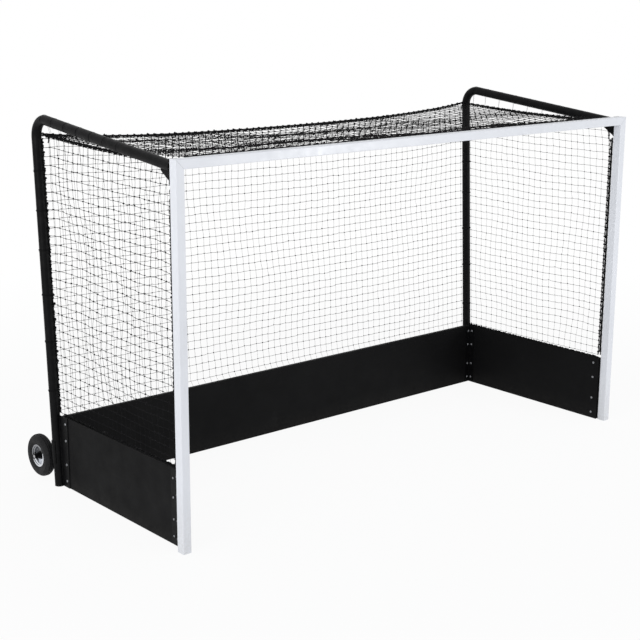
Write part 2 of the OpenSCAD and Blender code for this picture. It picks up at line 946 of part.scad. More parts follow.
module post_net_rod() {
    translate([net_rod_x, net_rod_y, rod_low]) cylinder(h = rod_high - rod_low, r = rod_r, $fn = small_fn);
    for (i = [0 : post_lugs - 1]) {
        z = rod_low + post_lug_end + i * (rod_high - rod_low - 2 * post_lug_end) / (post_lugs - 1);
        translate([net_rod_x - 1.5, frame_depth, z - lug_w / 2]) cube([3, net_rod_y - frame_depth, lug_w]);
    }
}

module left_post_net_rod() {
    color(black) place() on_side(-1) post_net_rod();
}

module right_post_net_rod() {
    color(black) place() on_side(1) post_net_rod();
}

module crossbar_net_rod() {
    color(black) place() {
        rod_x(-bar_rod_half, bar_rod_half, net_rod_y, bar_rod_z, rod_r);
        for (i = [0 : bar_lugs - 1]) {
            x = -bar_rod_half + bar_lug_end + i * 2 * (bar_rod_half - bar_lug_end) / (bar_lugs - 1);
            translate([x - lug_w / 2, frame_depth, bar_rod_z - 1.5])
                cube([lug_w, net_rod_y - frame_depth, 3]);
        }
    }
}

// an eye plate for a head rope: a round plate with a hole, and a neck to what carries it
module eye_plate(x, y, z, neck_x, neck_w) {
    difference() {
        across_y(y, y + eye_t) {
            translate([x, z]) circle(r = eye_r, $fn = small_fn);
            translate([min(x, neck_x), z - neck_w / 2]) square([abs(neck_x - x), neck_w]);
        }
        rod_y(y - eps, y + eye_t + eps, x, z, eye_hole_r);
    }
}

module rope_eyes() {
    color(black) place() for (side = [-1, 1]) on_side(side) {
        eye_plate(front_eye_x, frame_depth, front_eye_z, front_eye_x - 2 * eye_r, eye_r);
        difference() {
            eye_plate(rear_eye_x, rear_eye_y - eye_t, rear_eye_z, tube_x - tube_r + 6, eye_r);
            bend_bar(tube_r);
        }
    }
}

module leg_border_ropes() {
    color(rope_black) place() for (side = [-1, 1]) on_side(side) along_leg()
        translate([border_x - tube_x, -border_off, border_low])
            cylinder(h = border_high - border_low, r = border_r, $fn = small_fn);
}

module board_border_ropes() {
    rope_front = board_front + 10;
    color(rope_black) place() {
        for (side = [-1, 1]) on_side(side)
            rod_y(rope_front, board_back - 5, side_rope_x, side_rope_z, border_r);
        rod_x(-board_in, board_in, back_rope_y, back_rope_z, border_r);
    }
}

// a saddle over a border rope that runs along Y on a board's top edge
module cleat() {
    difference() {
        translate([-cleat_d / 2, -cleat_w / 2, 0]) cube([cleat_d, cleat_w, cleat_h]);
        rod_y(-cleat_w, cleat_w, 0, border_r + tie_gap, border_r + tie_gap / 2);
    }
}

module net_cleats() {
    side_run = inner_depth - board_front - 2 * side_cleat_end;
    back_run = 2 * (board_in - back_cleat_end);
    color(steel) place() {
        for (side = [-1, 1], i = [0 : side_cleats - 1]) {
            y = board_front + side_cleat_end + i * side_run / (side_cleats - 1);
            on_side(side) translate([side_rope_x, y, board_top]) cleat();
        }
        for (i = [0 : back_cleats - 1]) {
            translate([-back_run / 2 + i * back_run / (back_cleats - 1), board_back, back_rope_z])
                rotate([-90, 0, 0]) rotate([0, 0, 90]) cleat();
        }
    }
}

// ---------- head ropes ----------

function unit(v) = v / norm(v);
function run_at(path, i) =
    unit(path[min(i + 1, len(path) - 1)] - path[max(i - 1, 0)]);
function ring_at(path, i, r, sides) =
    let (ahead = run_at(path, i), across = unit(cross(ahead, [0, 0, 1])), up = cross(across, ahead))
    [for (k = [0 : sides - 1]) path[i] + r * (cos(k * 360 / sides) * across + sin(k * 360 / sides) * up)];

// a rope as one closed polyhedron along its points
module rope(path, d, sides) {
    last = len(path) - 1;
    rings = [for (i = [0 : last]) each ring_at(path, i, d / 2, sides)];
    walls = [
        for (i = [0 : last - 1], k = [0 : sides - 1])
            let (a = i * sides + k, b = i * sides + (k + 1) % sides)
            each [[a, b, b + sides], [a, b + sides, a + sides]]
    ];
    start_cap = [for (k = [1 : sides - 2]) [0, k + 1, k]];
    end_cap = [for (k = [1 : sides - 2]) [last * sides, last * sides + k, last * sides + k + 1]];
    polyhedron(points = rings, faces = [for (f = concat(walls, start_cap, end_cap)) [f[0], f[2], f[1]]]);
}

module left_head_rope() {
    color(rope_black) on_side(-1) rope(side_rope_points, head_rope_d, rope_sides);
}

module right_head_rope() {
    color(rope_black) on_side(1) rope(side_rope_points, head_rope_d, rope_sides);
}

module rear_head_rope() {
    color(rope_black) rope(rear_rope_points, head_rope_d, rope_sides);
}

// ---------- netting ----------

// where the lines between strands and gaps fall, from 0 to 1, along a side of a net
function net_lines(gaps, side_length) =
    let (pitch = (side_length - strand_w) / gaps)
    [for (i = [0 : gaps]) each [i * pitch / side_length, (i * pitch + strand_w) / side_length]];

// a net of crossing strands as one closed polyhedron; at(u, v) gives its surface
module net(columns, rows, width, height, through, at) {
    us = net_lines(columns, width);
    vs = net_lines(rows, height);
    nu = len(us);
    nv = len(vs);
    layer = nu * nv;
    open = function (i, j) i % 2 == 1 && j % 2 == 1;
    solid = function (i, j) i >= 0 && j >= 0 && i < nu - 1 && j < nv - 1 && !open(i, j);
    id = function (i, j, k) k * layer + j * nu + i;
    quad = function (a, b, c, d) [[a, b, c], [a, c, d]];
    points = [
        for (k = [-0.5, 0.5], j = [0 : nv - 1], i = [0 : nu - 1]) at(us[i], vs[j]) + k * through
    ];
    skins = [
        for (j = [0 : nv - 2], i = [0 : nu - 2]) if (solid(i, j)) each concat(
            quad(id(i, j, 0), id(i, j + 1, 0), id(i + 1, j + 1, 0), id(i + 1, j, 0)),
            quad(id(i, j, 1), id(i + 1, j, 1), id(i + 1, j + 1, 1), id(i, j + 1, 1))
        )
    ];
    walls_u = [
        for (j = [0 : nv - 2], i = [0 : nu - 1]) if (solid(i, j) != solid(i - 1, j))
            each solid(i, j)
                ? quad(id(i, j, 0), id(i, j, 1), id(i, j + 1, 1), id(i, j + 1, 0))
                : quad(id(i, j, 0), id(i, j + 1, 0), id(i, j + 1, 1), id(i, j, 1))
    ];
    walls_v = [
        for (j = [0 : nv - 1], i = [0 : nu - 2]) if (solid(i, j) != solid(i, j - 1))
            each solid(i, j)
                ? quad(id(i, j, 0), id(i + 1, j, 0), id(i + 1, j, 1), id(i, j, 1))
                : quad(id(i, j, 0), id(i, j, 1), id(i + 1, j, 1), id(i + 1, j, 0))
    ];
    polyhedron(points = points, faces = concat(skins, walls_u, walls_v));
}

function mix(a, b, t) = a + (b - a) * t;

// the right side net: u from front to back, v from the board to the head rope
module side_net() {
    rear_low = leg_centre_y(net_low) - border_off - border_r - net_gap;
    rear_high = leg_centre_y(side_net_top_rear) - border_off - border_r - net_gap;
    at = function (u, v) let (
        low = [side_rope_x, mix(net_front, rear_low, u), net_low],
        top = mix(side_net_top_front, side_net_top_rear, u) - 4 * side_sag * u * (1 - u),
        high = [side_net_top_x, mix(net_front, rear_high, u), top]
    ) mix(low, high, v);
    net(net_depth_rows, net_rows, inner_depth, mouth_h - board_h, [-strand_t, 0, 0], at);
}

module left_side_net() {
    color(rope_black) place() on_side(-1) side_net();
}

module right_side_net() {
    color(rope_black) place() on_side(1) side_net();
}

// how far the rear head rope hangs below its eyes, from 0 at the left to 1 at the right
function rear_sag(u) = rope_sag * (1 - pow(abs(2 * u - 1), 3.2));

module back_net() {
    at = function (u, v) let (
        x = mix(-back_net_half, back_net_half, u),
        low = [x, back_net_low_y, back_net_low],
        high = [x, back_net_top_y, rear_eye_z - rope_under - rear_sag(u)]
    ) mix(low, high, v);
    color(rope_black) place() net(net_columns, net_rows, mouth_w, mouth_h - board_h, [0, strand_t, 0], at);
}

module top_net() {
    at = function (u, v) let (
        x = mix(-top_net_half, top_net_half, u),
        front = [x, net_front, top_net_front_z],
        rear = [x, top_net_rear_y, rear_eye_z - rope_under - rear_sag(u)]
    ) mix(front, rear, v);
    color(rope_black) place() net(net_columns, net_depth_rows, mouth_w, inner_depth, [0, 0, -strand_t], at);
}

left_post();
right_post();
crossbar();
left_corner_joiner();
right_corner_joiner();
corner_screws();
post_foot_caps();
left_side_tube();
right_side_tube();
leg_foot_caps();
left_top_bracket();
right_top_bracket();
bracket_bolts();
left_front_angle();
right_front_angle();
front_angle_screws();
left_side_board();
right_side_board();
back_board();
front_board_bolts();
left_corner_angle();
right_corner_angle();
left_leg_plate();
right_leg_plate();
corner_bolts();
back_board_bolts();
left_wheel_bracket();
right_wheel_bracket();
left_axle();
right_axle();
axle_nuts();
axle_spacers();
left_tyre();
right_tyre();
left_rim_outer();
right_rim_outer();
left_rim_inner();
right_rim_inner();
left_rim_bolts();
right_rim_bolts();
left_hub();
right_hub();
left_bearings();
right_bearings();
left_post_net_rod();
right_post_net_rod();
crossbar_net_rod();
rope_eyes();
left_head_rope();
right_head_rope();
rear_head_rope();
leg_border_ropes();
board_border_ropes();
net_cleats();
left_side_net();
right_side_net();
back_net();
top_net();
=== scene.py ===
"""Looks of a wheeled field-hockey goal: nets, ropes, lacing, trims, finishes and a small studio.

The file is laid out as an add-on and is run as a script. Everything is in metres and in the
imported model's frame: X runs across the mouth, +Y from the mouth to the back, +Z up.
"""

import math

import bmesh
import bpy
import numpy as np
from mathutils import Matrix, Vector


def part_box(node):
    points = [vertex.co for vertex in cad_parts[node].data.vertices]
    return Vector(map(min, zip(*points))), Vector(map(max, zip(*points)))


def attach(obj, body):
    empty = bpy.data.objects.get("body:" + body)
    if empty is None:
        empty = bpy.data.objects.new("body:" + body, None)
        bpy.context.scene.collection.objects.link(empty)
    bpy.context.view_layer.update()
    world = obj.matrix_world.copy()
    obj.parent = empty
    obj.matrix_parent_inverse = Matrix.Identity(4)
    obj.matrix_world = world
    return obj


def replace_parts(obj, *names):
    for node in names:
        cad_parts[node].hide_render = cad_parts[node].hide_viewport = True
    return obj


bl_info = {
    "name": "Field Hockey Goal",
    "version": (1, 0, 0),
    "blender": (4, 5, 0),
    "location": "3D View > Sidebar > Goal",
    "description": "Nets, ropes, trims and finishes for a wheeled field-hockey goal",
    "category": "Add Mesh",
}

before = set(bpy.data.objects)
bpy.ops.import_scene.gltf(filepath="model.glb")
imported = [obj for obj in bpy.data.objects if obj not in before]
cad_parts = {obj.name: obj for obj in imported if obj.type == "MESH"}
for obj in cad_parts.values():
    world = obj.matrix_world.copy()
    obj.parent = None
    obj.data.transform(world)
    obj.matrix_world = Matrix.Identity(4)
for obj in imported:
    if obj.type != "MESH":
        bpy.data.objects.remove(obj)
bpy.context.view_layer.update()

# ---------- places taken from the frame ----------

SIDES = {"left": -1, "right": 1}

post_low, post_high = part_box("right_post")
bar_low, bar_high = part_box("crossbar")
board_low, board_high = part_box("right_side_board")
back_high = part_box("back_board")[1]
plate_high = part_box("right_leg_plate")[1]
bracket_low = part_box("right_top_bracket")[0]
tube_low, tube_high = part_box("right_side_tube")
rod_low, rod_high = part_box("right_post_net_rod")
bar_rod_low, bar_rod_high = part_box("crossbar_net_rod")
leg_rope_low, leg_rope_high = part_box("leg_border_ropes")
board_rope_low, board_rope_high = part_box("board_border_ropes")

TUBE_RADIUS = (tube_high.x - tube_low.x) / 2
TUBE_X = (tube_high.x + tube_low.x) / 2
ROD_RADIUS = (rod_high.x - rod_low.x) / 2
# the arm's slope and how far its middle starts below the top of the frame, as in the model's source
ARM_RISE = math.tan(math.radians(6.0))
ARM_BELOW_TOP = 0.044
# the border ropes' radius and their gap to the legs, as in the model's source
BORDER_RADIUS = 0.0045
BORDER_GAP = 0.0002

# the head ropes' routes, the same points as in the model's source
SIDE_ROPE_POINTS = [
    (1.814, -0.789, 2.156), (1.813, -0.700, 2.155), (1.812, -0.610, 2.155), (1.812, -0.520, 2.156),
    (1.811, -0.430, 2.156), (1.811, -0.340, 2.157), (1.811, -0.250, 2.159), (1.811, -0.160, 2.161),
    (1.811, -0.070, 2.163), (1.811, 0.020, 2.165), (1.812, 0.110, 2.168), (1.812, 0.200, 2.172),
    (1.813, 0.290, 2.175), (1.814, 0.380, 2.180), (1.815, 0.460, 2.184), (1.816, 0.540, 2.188),
    (1.817, 0.628, 2.193),
]
REAR_ROPE_POINTS = [
    (-1.805, 0.632, 2.193), (-1.700, 0.630, 2.180), (-1.560, 0.628, 2.167), (-1.400, 0.626, 2.156),
    (-1.200, 0.624, 2.145), (-1.000, 0.622, 2.137), (-0.800, 0.620, 2.132), (-0.500, 0.618, 2.127),
    (-0.200, 0.618, 2.125), (0.000, 0.618, 2.125), (0.200, 0.618, 2.125), (0.500, 0.618, 2.127),
    (0.800, 0.620, 2.132), (1.000, 0.622, 2.137), (1.200, 0.624, 2.145), (1.400, 0.626, 2.156),
    (1.560, 0.628, 2.167), (1.700, 0.630, 2.180), (1.805, 0.632, 2.193),
]

leg_rope_x = leg_rope_high.x - BORDER_RADIUS
leg_rope_run = leg_rope_high.z - leg_rope_low.z
TAN_LEAN = (leg_rope_high.y - leg_rope_low.y - 2 * BORDER_RADIUS) / leg_rope_run
rope_reach = TUBE_RADIUS + BORDER_RADIUS + BORDER_GAP
LEG_ROPE_AHEAD = math.sqrt(rope_reach ** 2 - (TUBE_X - leg_rope_x) ** 2)


def leg_y(z):
    """Y of the leg's centre line at height z."""
    rope_y = leg_rope_low.y + BORDER_RADIUS + (z - leg_rope_low.z) * TAN_LEAN
    return rope_y + LEG_ROPE_AHEAD


def leg_edge(z, distance):
    """The place at height z on the right leg's net side, at a distance from its centre line."""
    share = distance / rope_reach
    across = (TUBE_X - leg_rope_x) * share
    return (TUBE_X - across, leg_y(z) - LEG_ROPE_AHEAD * share, z)


# ---------- settings ----------

class GoalNetSettings(bpy.types.PropertyGroup):
    """Sizes of the netting."""

    mesh_size: bpy.props.FloatProperty(
        name="Mesh size", description="Distance between neighbouring knots",
        default=0.052, min=0.03, max=0.12, unit="LENGTH")
    back_twine: bpy.props.FloatProperty(
        name="Back twine", description="Diameter of the back net's twine",
        default=0.0019, min=0.001, max=0.006, unit="LENGTH")
    side_twine: bpy.props.FloatVectorProperty(
        name="Side twine", description="Diameters of the left and the right side net's twine",
        default=(0.0023, 0.0018), min=0.001, max=0.006, size=2, unit="LENGTH")
    top_twine: bpy.props.FloatProperty(
        name="Top twine", description="Diameter of the top net's twine",
        default=0.0026, min=0.001, max=0.006, unit="LENGTH")
    head_twine: bpy.props.FloatProperty(
        name="Head twine", description="Diameter of the doubled twine in the back net's top meshes",
        default=0.0042, min=0.001, max=0.008, unit="LENGTH")
    head_meshes: bpy.props.IntProperty(
        name="Head meshes", description="How many rows of meshes under the rear rope have doubled twine",
        default=3, min=0, max=8)
    knot: bpy.props.FloatProperty(
        name="Knot", description="Half the width of a knot, in diameters of the twine",
        default=2.5, min=1.0, max=4.0)
    slack: bpy.props.FloatProperty(
        name="Top slack", description="How many times longer and wider the top net is than its place",
        default=1.0, min=1.0, max=1.6)
    top_sag: bpy.props.FloatProperty(
        name="Top sag", description="How far the top net hangs below its edges",
        default=0.012, min=0.0, max=0.2, unit="LENGTH")
    bulge: bpy.props.FloatProperty(
        name="Bulge", description="How far the hanging nets bulge out of their planes",
        default=0.014, min=0.0, max=0.1, unit="LENGTH")
    drift: bpy.props.FloatProperty(
        name="Drift", description="How far the mesh drifts within its plane",
        default=0.0035, min=0.0, max=0.05, unit="LENGTH")


class GoalRopeSettings(bpy.types.PropertyGroup):
    """Sizes of the ropes and the lacing."""

    head: bpy.props.FloatProperty(
        name="Head rope", description="Diameter of the ropes that carry the top of the nets",
        default=0.014, min=0.008, max=0.02, unit="LENGTH")
    border: bpy.props.FloatProperty(
        name="Border rope", description="Diameter of the ropes along the boards",
        default=2 * BORDER_RADIUS, min=0.004, max=0.014, unit="LENGTH")
    edge: bpy.props.FloatProperty(
        name="Edge cord", description="Diameter of the cords along the legs and the posts",
        default=0.006, min=0.003, max=0.012, unit="LENGTH")
    lace: bpy.props.FloatProperty(
        name="Lace", description="Diameter of the lace that ties the nets to the ropes",
        default=0.0034, min=0.002, max=0.006, unit="LENGTH")


class GoalColourSettings(bpy.types.PropertyGroup):
    """Colours of the finishes."""

    frame_paint: bpy.props.FloatVectorProperty(
        name="Frame paint", description="Powder coat of the posts and the crossbar",
        default=(0.80, 0.815, 0.86), min=0.0, max=1.0, size=3, subtype="COLOR")
    black_coat: bpy.props.FloatVectorProperty(
        name="Black coat", description="Powder coat of the tubes, brackets and plates",
        default=(0.0036, 0.0036, 0.0040), min=0.0, max=1.0, size=3, subtype="COLOR")
    board: bpy.props.FloatVectorProperty(
        name="Boards", description="Dark grey of the side and back boards",
        default=(0.0058, 0.0058, 0.0061), min=0.0, max=1.0, size=3, subtype="COLOR")
    rubber: bpy.props.FloatVectorProperty(
        name="Tyres", description="Rubber of the tyres",
        default=(0.011, 0.011, 0.012), min=0.0, max=1.0, size=3, subtype="COLOR")
    twine: bpy.props.FloatVectorProperty(
        name="Twine and ropes", description="Black of the nets, ropes and lacing",
        default=(0.0040, 0.0040, 0.0045), min=0.0, max=1.0, size=3, subtype="COLOR")
    zinc: bpy.props.FloatVectorProperty(
        name="Zinc", description="Plating of the bolts, screws and washers",
        default=(0.26, 0.265, 0.28), min=0.0, max=1.0, size=3, subtype="COLOR")
    chrome: bpy.props.FloatVectorProperty(
        name="Rims", description="Plating of the wheel rims",
        default=(0.72, 0.74, 0.78), min=0.0, max=1.0, size=3, subtype="COLOR")


class GoalStageSettings(bpy.types.PropertyGroup):
    """Camera, lamps and floor."""

    lens: bpy.props.FloatProperty(
        name="Lens", description="Focal length on a 36 mm wide picture",
        default=76.368, min=20.0, max=200.0, unit="CAMERA")
    camera_place: bpy.props.FloatVectorProperty(
        name="Camera place", description="Where the camera stands",
        default=(-5.8715, -6.6420, 3.0856), size=3, subtype="TRANSLATION")
    turn: bpy.props.FloatProperty(
        name="Turn", description="Turn of the camera to the right of straight ahead",
        default=math.radians(40.6839), subtype="ANGLE")
    tip: bpy.props.FloatProperty(
        name="Tip", description="How far the camera looks down",
        default=math.radians(13.9678), subtype="ANGLE")
    roll: bpy.props.FloatProperty(
        name="Roll", description="Roll of the camera to the right",
        default=math.radians(0.2923), subtype="ANGLE")
    key_power: bpy.props.FloatProperty(
        name="Key lamp", description="Power of the large soft lamp on the left, in watts",
        default=620.0, min=0.0, max=5000.0)
    front_power: bpy.props.FloatProperty(
        name="Front lamp", description="Power of the large soft lamp in front, in watts",
        default=30.0, min=0.0, max=5000.0)
    gleam_power: bpy.props.FloatProperty(
        name="Gleam lamp", description="Power of the small lamp that lies on the crossbar, in watts",
        default=85.0, min=0.0, max=500.0)
    room_light: bpy.props.FloatProperty(
        name="Room light", description="Even light from all round",
        default=0.68, min=0.0, max=2.0)


SETTINGS = {
    "goal_net": GoalNetSettings,
    "goal_rope": GoalRopeSettings,
    "goal_colour": GoalColourSettings,
    "goal_stage": GoalStageSettings,
}


# ---------- mesh helpers ----------

class Parts:
    """Collects pieces of one mesh, and makes the object that rides on a body."""

    def __init__(self):
        self.verts = []
        self.faces = []
        self.count = 0

    def add(self, verts, faces):
        verts = np.asarray(verts, float).reshape(-1, 3)
        self.verts.append(verts)
        self.faces.extend([i + self.count for i in face] for face in faces)
        self.count += len(verts)

    def build(self, name, material, body="goal", smooth=True):
        mesh = bpy.data.meshes.new(name)
        mesh.from_pydata(np.concatenate(self.verts).tolist(), [], self.faces)
        mesh.polygons.foreach_set("use_smooth", [smooth] * len(mesh.polygons))
        mesh.materials.append(material)
        piece = bpy.data.objects.new(name, mesh)
        bpy.context.scene.collection.objects.link(piece)
        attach(piece, body)
        return piece


def unit(vectors):
    """Vectors scaled to length 1."""
    length = np.linalg.norm(vectors, axis=-1, keepdims=True)
    return vectors / np.maximum(length, 1e-12)


def smooth_route(points, step):
    """A smooth curve through points, with a point every step."""
    points = np.asarray(points, float)
    padded = np.vstack([2 * points[0] - points[1], points, 2 * points[-1] - points[-2]])
    curve = [points[:1]]
    for i in range(len(points) - 1):
        p0, p1, p2, p3 = padded[i:i + 4]
        t = np.linspace(0, 1, max(2, math.ceil(np.linalg.norm(p2 - p1) / step) + 1))[1:, None]
        curve.append(0.5 * (
            2 * p1 + (p2 - p0) * t
            + (2 * p0 - 5 * p1 + 4 * p2 - p3) * t ** 2
            + (3 * p1 - p0 - 3 * p2 + p3) * t ** 3))
    return np.vstack(curve)


def distances(path):
    """How far along a path each of its points lies."""
    return np.concatenate([[0.0], np.cumsum(np.linalg.norm(np.diff(path, axis=0), axis=1))])


def along(path, shares):
    """Places on a path at shares of its length, from 0 to 1."""
    path = np.asarray(path, float)
    run = distances(path)
    return np.stack([np.interp(np.asarray(shares) * run[-1], run, path[:, k]) for k in range(3)], -1)


def even_route(points, step):
    """A path through points with evenly spaced points about a step apart."""
    count = max(2, math.ceil(distances(np.asarray(points, float))[-1] / step) + 1)
    return along(points, np.linspace(0, 1, count))


def path_frames(path):
    """Two directions square to a path at each of its points, without needless twist."""
    ahead = unit(np.gradient(path, axis=0))
    start = np.array([0.0, 0.0, 1.0]) if abs(ahead[0, 2]) < 0.9 else np.array([1.0, 0.0, 0.0])
    across = np.empty_like(path)
    side = unit(np.cross(ahead[0], start))
    for i, direction in enumerate(ahead):
        side = unit(side - direction * (side @ direction))
        across[i] = side
    return across, np.cross(across, ahead)


def tube(path, radius, sides):
    """Verts and faces of a tube along a path. radius is a number or an array of points by sides."""
    path = np.asarray(path, float)
    across, up = path_frames(path)
    angle = np.linspace(0, 2 * math.pi, sides, endpoint=False)
    reach = np.broadcast_to(radius, (len(path), sides))[..., None]
    ring = np.cos(angle)[None, :, None] * across[:, None] + np.sin(angle)[None, :, None] * up[:, None]
    verts = (path[:, None] + reach * ring).reshape(-1, 3)
    faces = []
    for i in range(len(path) - 1):
        for k in range(sides):
            a, b = i * sides + k, i * sides + (k + 1) % sides
            faces.append([a, b, b + sides, a + sides])
    faces.append(list(range(sides))[::-1])
    faces.append([(len(path) - 1) * sides + k for k in range(sides)])
    return verts, faces


def closed_tube(path, radius, sides):
    """A tube round a closed path whose first point isn't repeated."""
    verts = tube(np.vstack([path[-1:], path, path[:1]]), radius, sides)[0][sides:-sides]
    count = len(path)
    faces = []
    for i in range(count):
        for k in range(sides):
            a, b = i * sides + k, i * sides + (k + 1) % sides
            c, d = ((i + 1) % count) * sides + (k + 1) % sides, ((i + 1) % count) * sides + k
            faces.append([a, b, c, d])
    return verts, faces


def laid_rope(path, diameter, sides=15, strands=3, lay=3.4):
    """A rope of twisted strands along a path; lay is the length of one turn in diameters."""
    turn = 2 * math.pi * distances(path) / (lay * diameter)
    angle = np.linspace(0, 2 * math.pi, sides, endpoint=False)
    swell = np.abs(np.cos(strands / 2 * (angle[None] - turn[:, None])))
    return tube(path, diameter / 2 * (0.80 + 0.20 * swell ** 0.6), sides)


def ring_path(centre, axis, radius, count, tilt=0.0):
    """Points of a circle round an axis; tilt shifts them along the axis once per turn."""
    axis = unit(np.asarray(axis, float))
    start = np.array([0.0, 0.0, 1.0]) if abs(axis[2]) < 0.9 else np.array([1.0, 0.0, 0.0])
    a = unit(np.cross(axis, start))
    b = np.cross(axis, a)
    t = np.linspace(0, 2 * math.pi, count, endpoint=False)[:, None]
    return np.asarray(centre) + radius * (np.cos(t) * a + np.sin(t) * b) + tilt * np.sin(t) * axis


GOLDEN = (1 + math.sqrt(5)) / 2
LUMP_VERTS = unit(np.array([
    (-1, GOLDEN, 0), (1, GOLDEN, 0), (-1, -GOLDEN, 0), (1, -GOLDEN, 0),
    (0, -1, GOLDEN), (0, 1, GOLDEN), (0, -1, -GOLDEN), (0, 1, -GOLDEN),
    (GOLDEN, 0, -1), (GOLDEN, 0, 1), (-GOLDEN, 0, -1), (-GOLDEN, 0, 1)], float))
LUMP_FACES = [
    (0, 11, 5), (0, 5, 1), (0, 1, 7), (0, 7, 10), (0, 10, 11), (1, 5, 9), (5, 11, 4),
    (11, 10, 2), (10, 7, 6), (7, 1, 8), (3, 9, 4), (3, 4, 2), (3, 2, 6), (3, 6, 8), (3, 8, 9),
    (4, 9, 5), (2, 4, 11), (6, 2, 10), (8, 6, 7), (9, 8, 1)]


def add_lumps(parts, places, size, rng):
    """Small uneven knots at places. size is a number or an array with one size to a place."""
    places = np.asarray(places, float).reshape(-1, 3)
    shape = LUMP_VERTS * np.array([1.0, 0.85, 0.7])
    turns = np.linalg.qr(rng.normal(size=(len(places), 3, 3)))[0]
    turns *= np.sign(np.linalg.det(turns))[:, None, None]
    sizes = size * rng.uniform(0.8, 1.2, (len(places), 1, 1))
    verts = places[:, None] + sizes * np.einsum("nij,kj->nki", turns, shape)
    faces = [[i * len(shape) + k for k in face] for i in range(len(places)) for face in LUMP_FACES]
    parts.add(verts, faces)


def bevelled_box(low, high, bevel):
    """A box with rounded edges."""
    box = bmesh.new()
    bmesh.ops.create_cube(box, size=1.0)
    low, high = Vector(low), Vector(high)
    for vert in box.verts:
        vert.co = Vector([low[k] + (vert.co[k] + 0.5) * (high[k] - low[k]) for k in range(3)])
    bmesh.ops.bevel(box, geom=box.edges[:], offset=bevel, segments=2, affect="EDGES", profile=0.5)
    verts = [vert.co[:] for vert in box.verts]
    faces = [[vert.index for vert in face.verts] for face in box.faces]
    box.free()
    return verts, faces


def screw_head(place, sign, radius, height):
    """A low dome with a round recess, on a face that looks along X."""
    rings = [(1.0, 0.0), (1.0, 0.35), (0.92, 0.7), (0.7, 0.95), (0.42, 1.05), (0.30, 0.55),
             (0.0001, 0.5)]
    count = 20
    angle = np.linspace(0, 2 * math.pi, count, endpoint=False)
    verts = [(sign * height * rise, radius * share * math.cos(t), radius * share * math.sin(t))
             for share, rise in rings for t in angle]
    faces = []
    for i in range(len(rings) - 1):
        for k in range(count):
            a, b = i * count + k, i * count + (k + 1) % count
            faces.append([a, b, b + count, a + count])
    if sign < 0:
        faces = [face[::-1] for face in faces]
    return np.array(verts) + place, faces


# ---------- finishes ----------

class Finish:
    """A procedural material with a few named parts."""

    def __init__(self, name):
        self.material = bpy.data.materials.new(name)
        self.material.use_nodes = True
        self.tree = self.material.node_tree
        self.shader = self.tree.nodes["Principled BSDF"]
        self.place = self.node("ShaderNodeTexCoord").outputs["Object"]

    def node(self, kind, settings=None, **inputs):
        made = self.tree.nodes.new(kind)
        for key, value in (settings or {}).items():
            setattr(made, key, value)
        for key, value in inputs.items():
            self.feed(made.inputs[key.replace("_", " ")], value)
        return made

    def feed(self, socket, value):
        if isinstance(value, bpy.types.NodeSocket):
            self.tree.links.new(value, socket)
        else:
            socket.default_value = value

    def set(self, **inputs):
        for key, value in inputs.items():
            self.feed(self.shader.inputs[key.replace("_", " ")], value)

    def noise(self, scale, detail=4.0, stretch=None):
        """Noise from the piece's own coordinates, in waves per metre."""
        place = self.place
        if stretch is not None:
            place = self.node("ShaderNodeMapping", Vector=place, Scale=stretch).outputs["Vector"]
        made = self.node("ShaderNodeTexNoise", Vector=place, Scale=scale, Detail=detail, Roughness=0.6)
        return made.outputs["Fac"]

    def spread(self, value, low, high, lowest=0.3, highest=0.7):
        """Value spread from the range it mostly lies in to low and high."""
        made = self.node("ShaderNodeMapRange", Value=value, From_Min=lowest, From_Max=highest,
                         To_Min=low, To_Max=high)
        return made.outputs["Result"]

    def mix(self, share, a, b):
        """Colour a where share is 0 and b where it is 1."""
        made = self.node("ShaderNodeMix", {"data_type": "RGBA"})
        for socket, value in zip((made.inputs[0], made.inputs[6], made.inputs[7]), (share, a, b)):
            self.feed(socket, value)
        return made.outputs[2]

    def height(self, value, distance, strength=1.0):
        """Bump from a value; distance is the height in metres."""
        made = self.node("ShaderNodeBump", Height=value, Distance=distance, Strength=strength)
        return made.outputs["Normal"]

    def edges(self, radius):
        """A share that is near 1 along sharp edges and 0 elsewhere."""
        soft = self.node("ShaderNodeBevel", {"samples": 4}, Radius=radius)
        flat = self.node("ShaderNodeNewGeometry")
        match = self.node("ShaderNodeVectorMath", {"operation": "DOT_PRODUCT"})
        self.feed(match.inputs[0], soft.outputs["Normal"])
        self.feed(match.inputs[1], flat.outputs["Normal"])
        return self.spread(match.outputs["Value"], 1.0, 0.0, 0.75, 0.98)

    def near_ground(self, reach):
        """A share that fades from 1 at the ground to 0 at a height."""
        split = self.node("ShaderNodeSeparateXYZ", Vector=self.place)
        return self.spread(split.outputs["Z"], 1.0, 0.0, 0.0, reach)

    def times(self, a, b):
        made = self.node("ShaderNodeMath", {"operation": "MULTIPLY"})
        self.feed(made.inputs[0], a)
        self.feed(made.inputs[1], b)
        return made.outputs[0]


def shade(colour, factor):
    """A colour with its brightness scaled, as a socket wants it."""
    return tuple(min(1.0, c * factor) for c in colour) + (1.0,)


# tones of dust, wear and specks, and the painted dark reflection on the rim between its painted bright
# and dim reflections
PALE_DUST = (0.52, 0.50, 0.45, 1.0)
BARE_ALUMINIUM = (0.50, 0.51, 0.53, 1.0)
DULL_SPECK = (0.10, 0.095, 0.09, 1.0)
PAINTED_DARK_REFLECTION = (0.030, 0.030, 0.033, 1.0)


def mottled(finish, waves_per_metre, detail, colour, darkest, lightest):
    """A colour that goes softly from a darker to a lighter shade of it."""
    share = finish.spread(finish.noise(waves_per_metre, detail), 0.0, 1.0)
    return finish.mix(share, shade(colour, darkest), shade(colour, lightest))


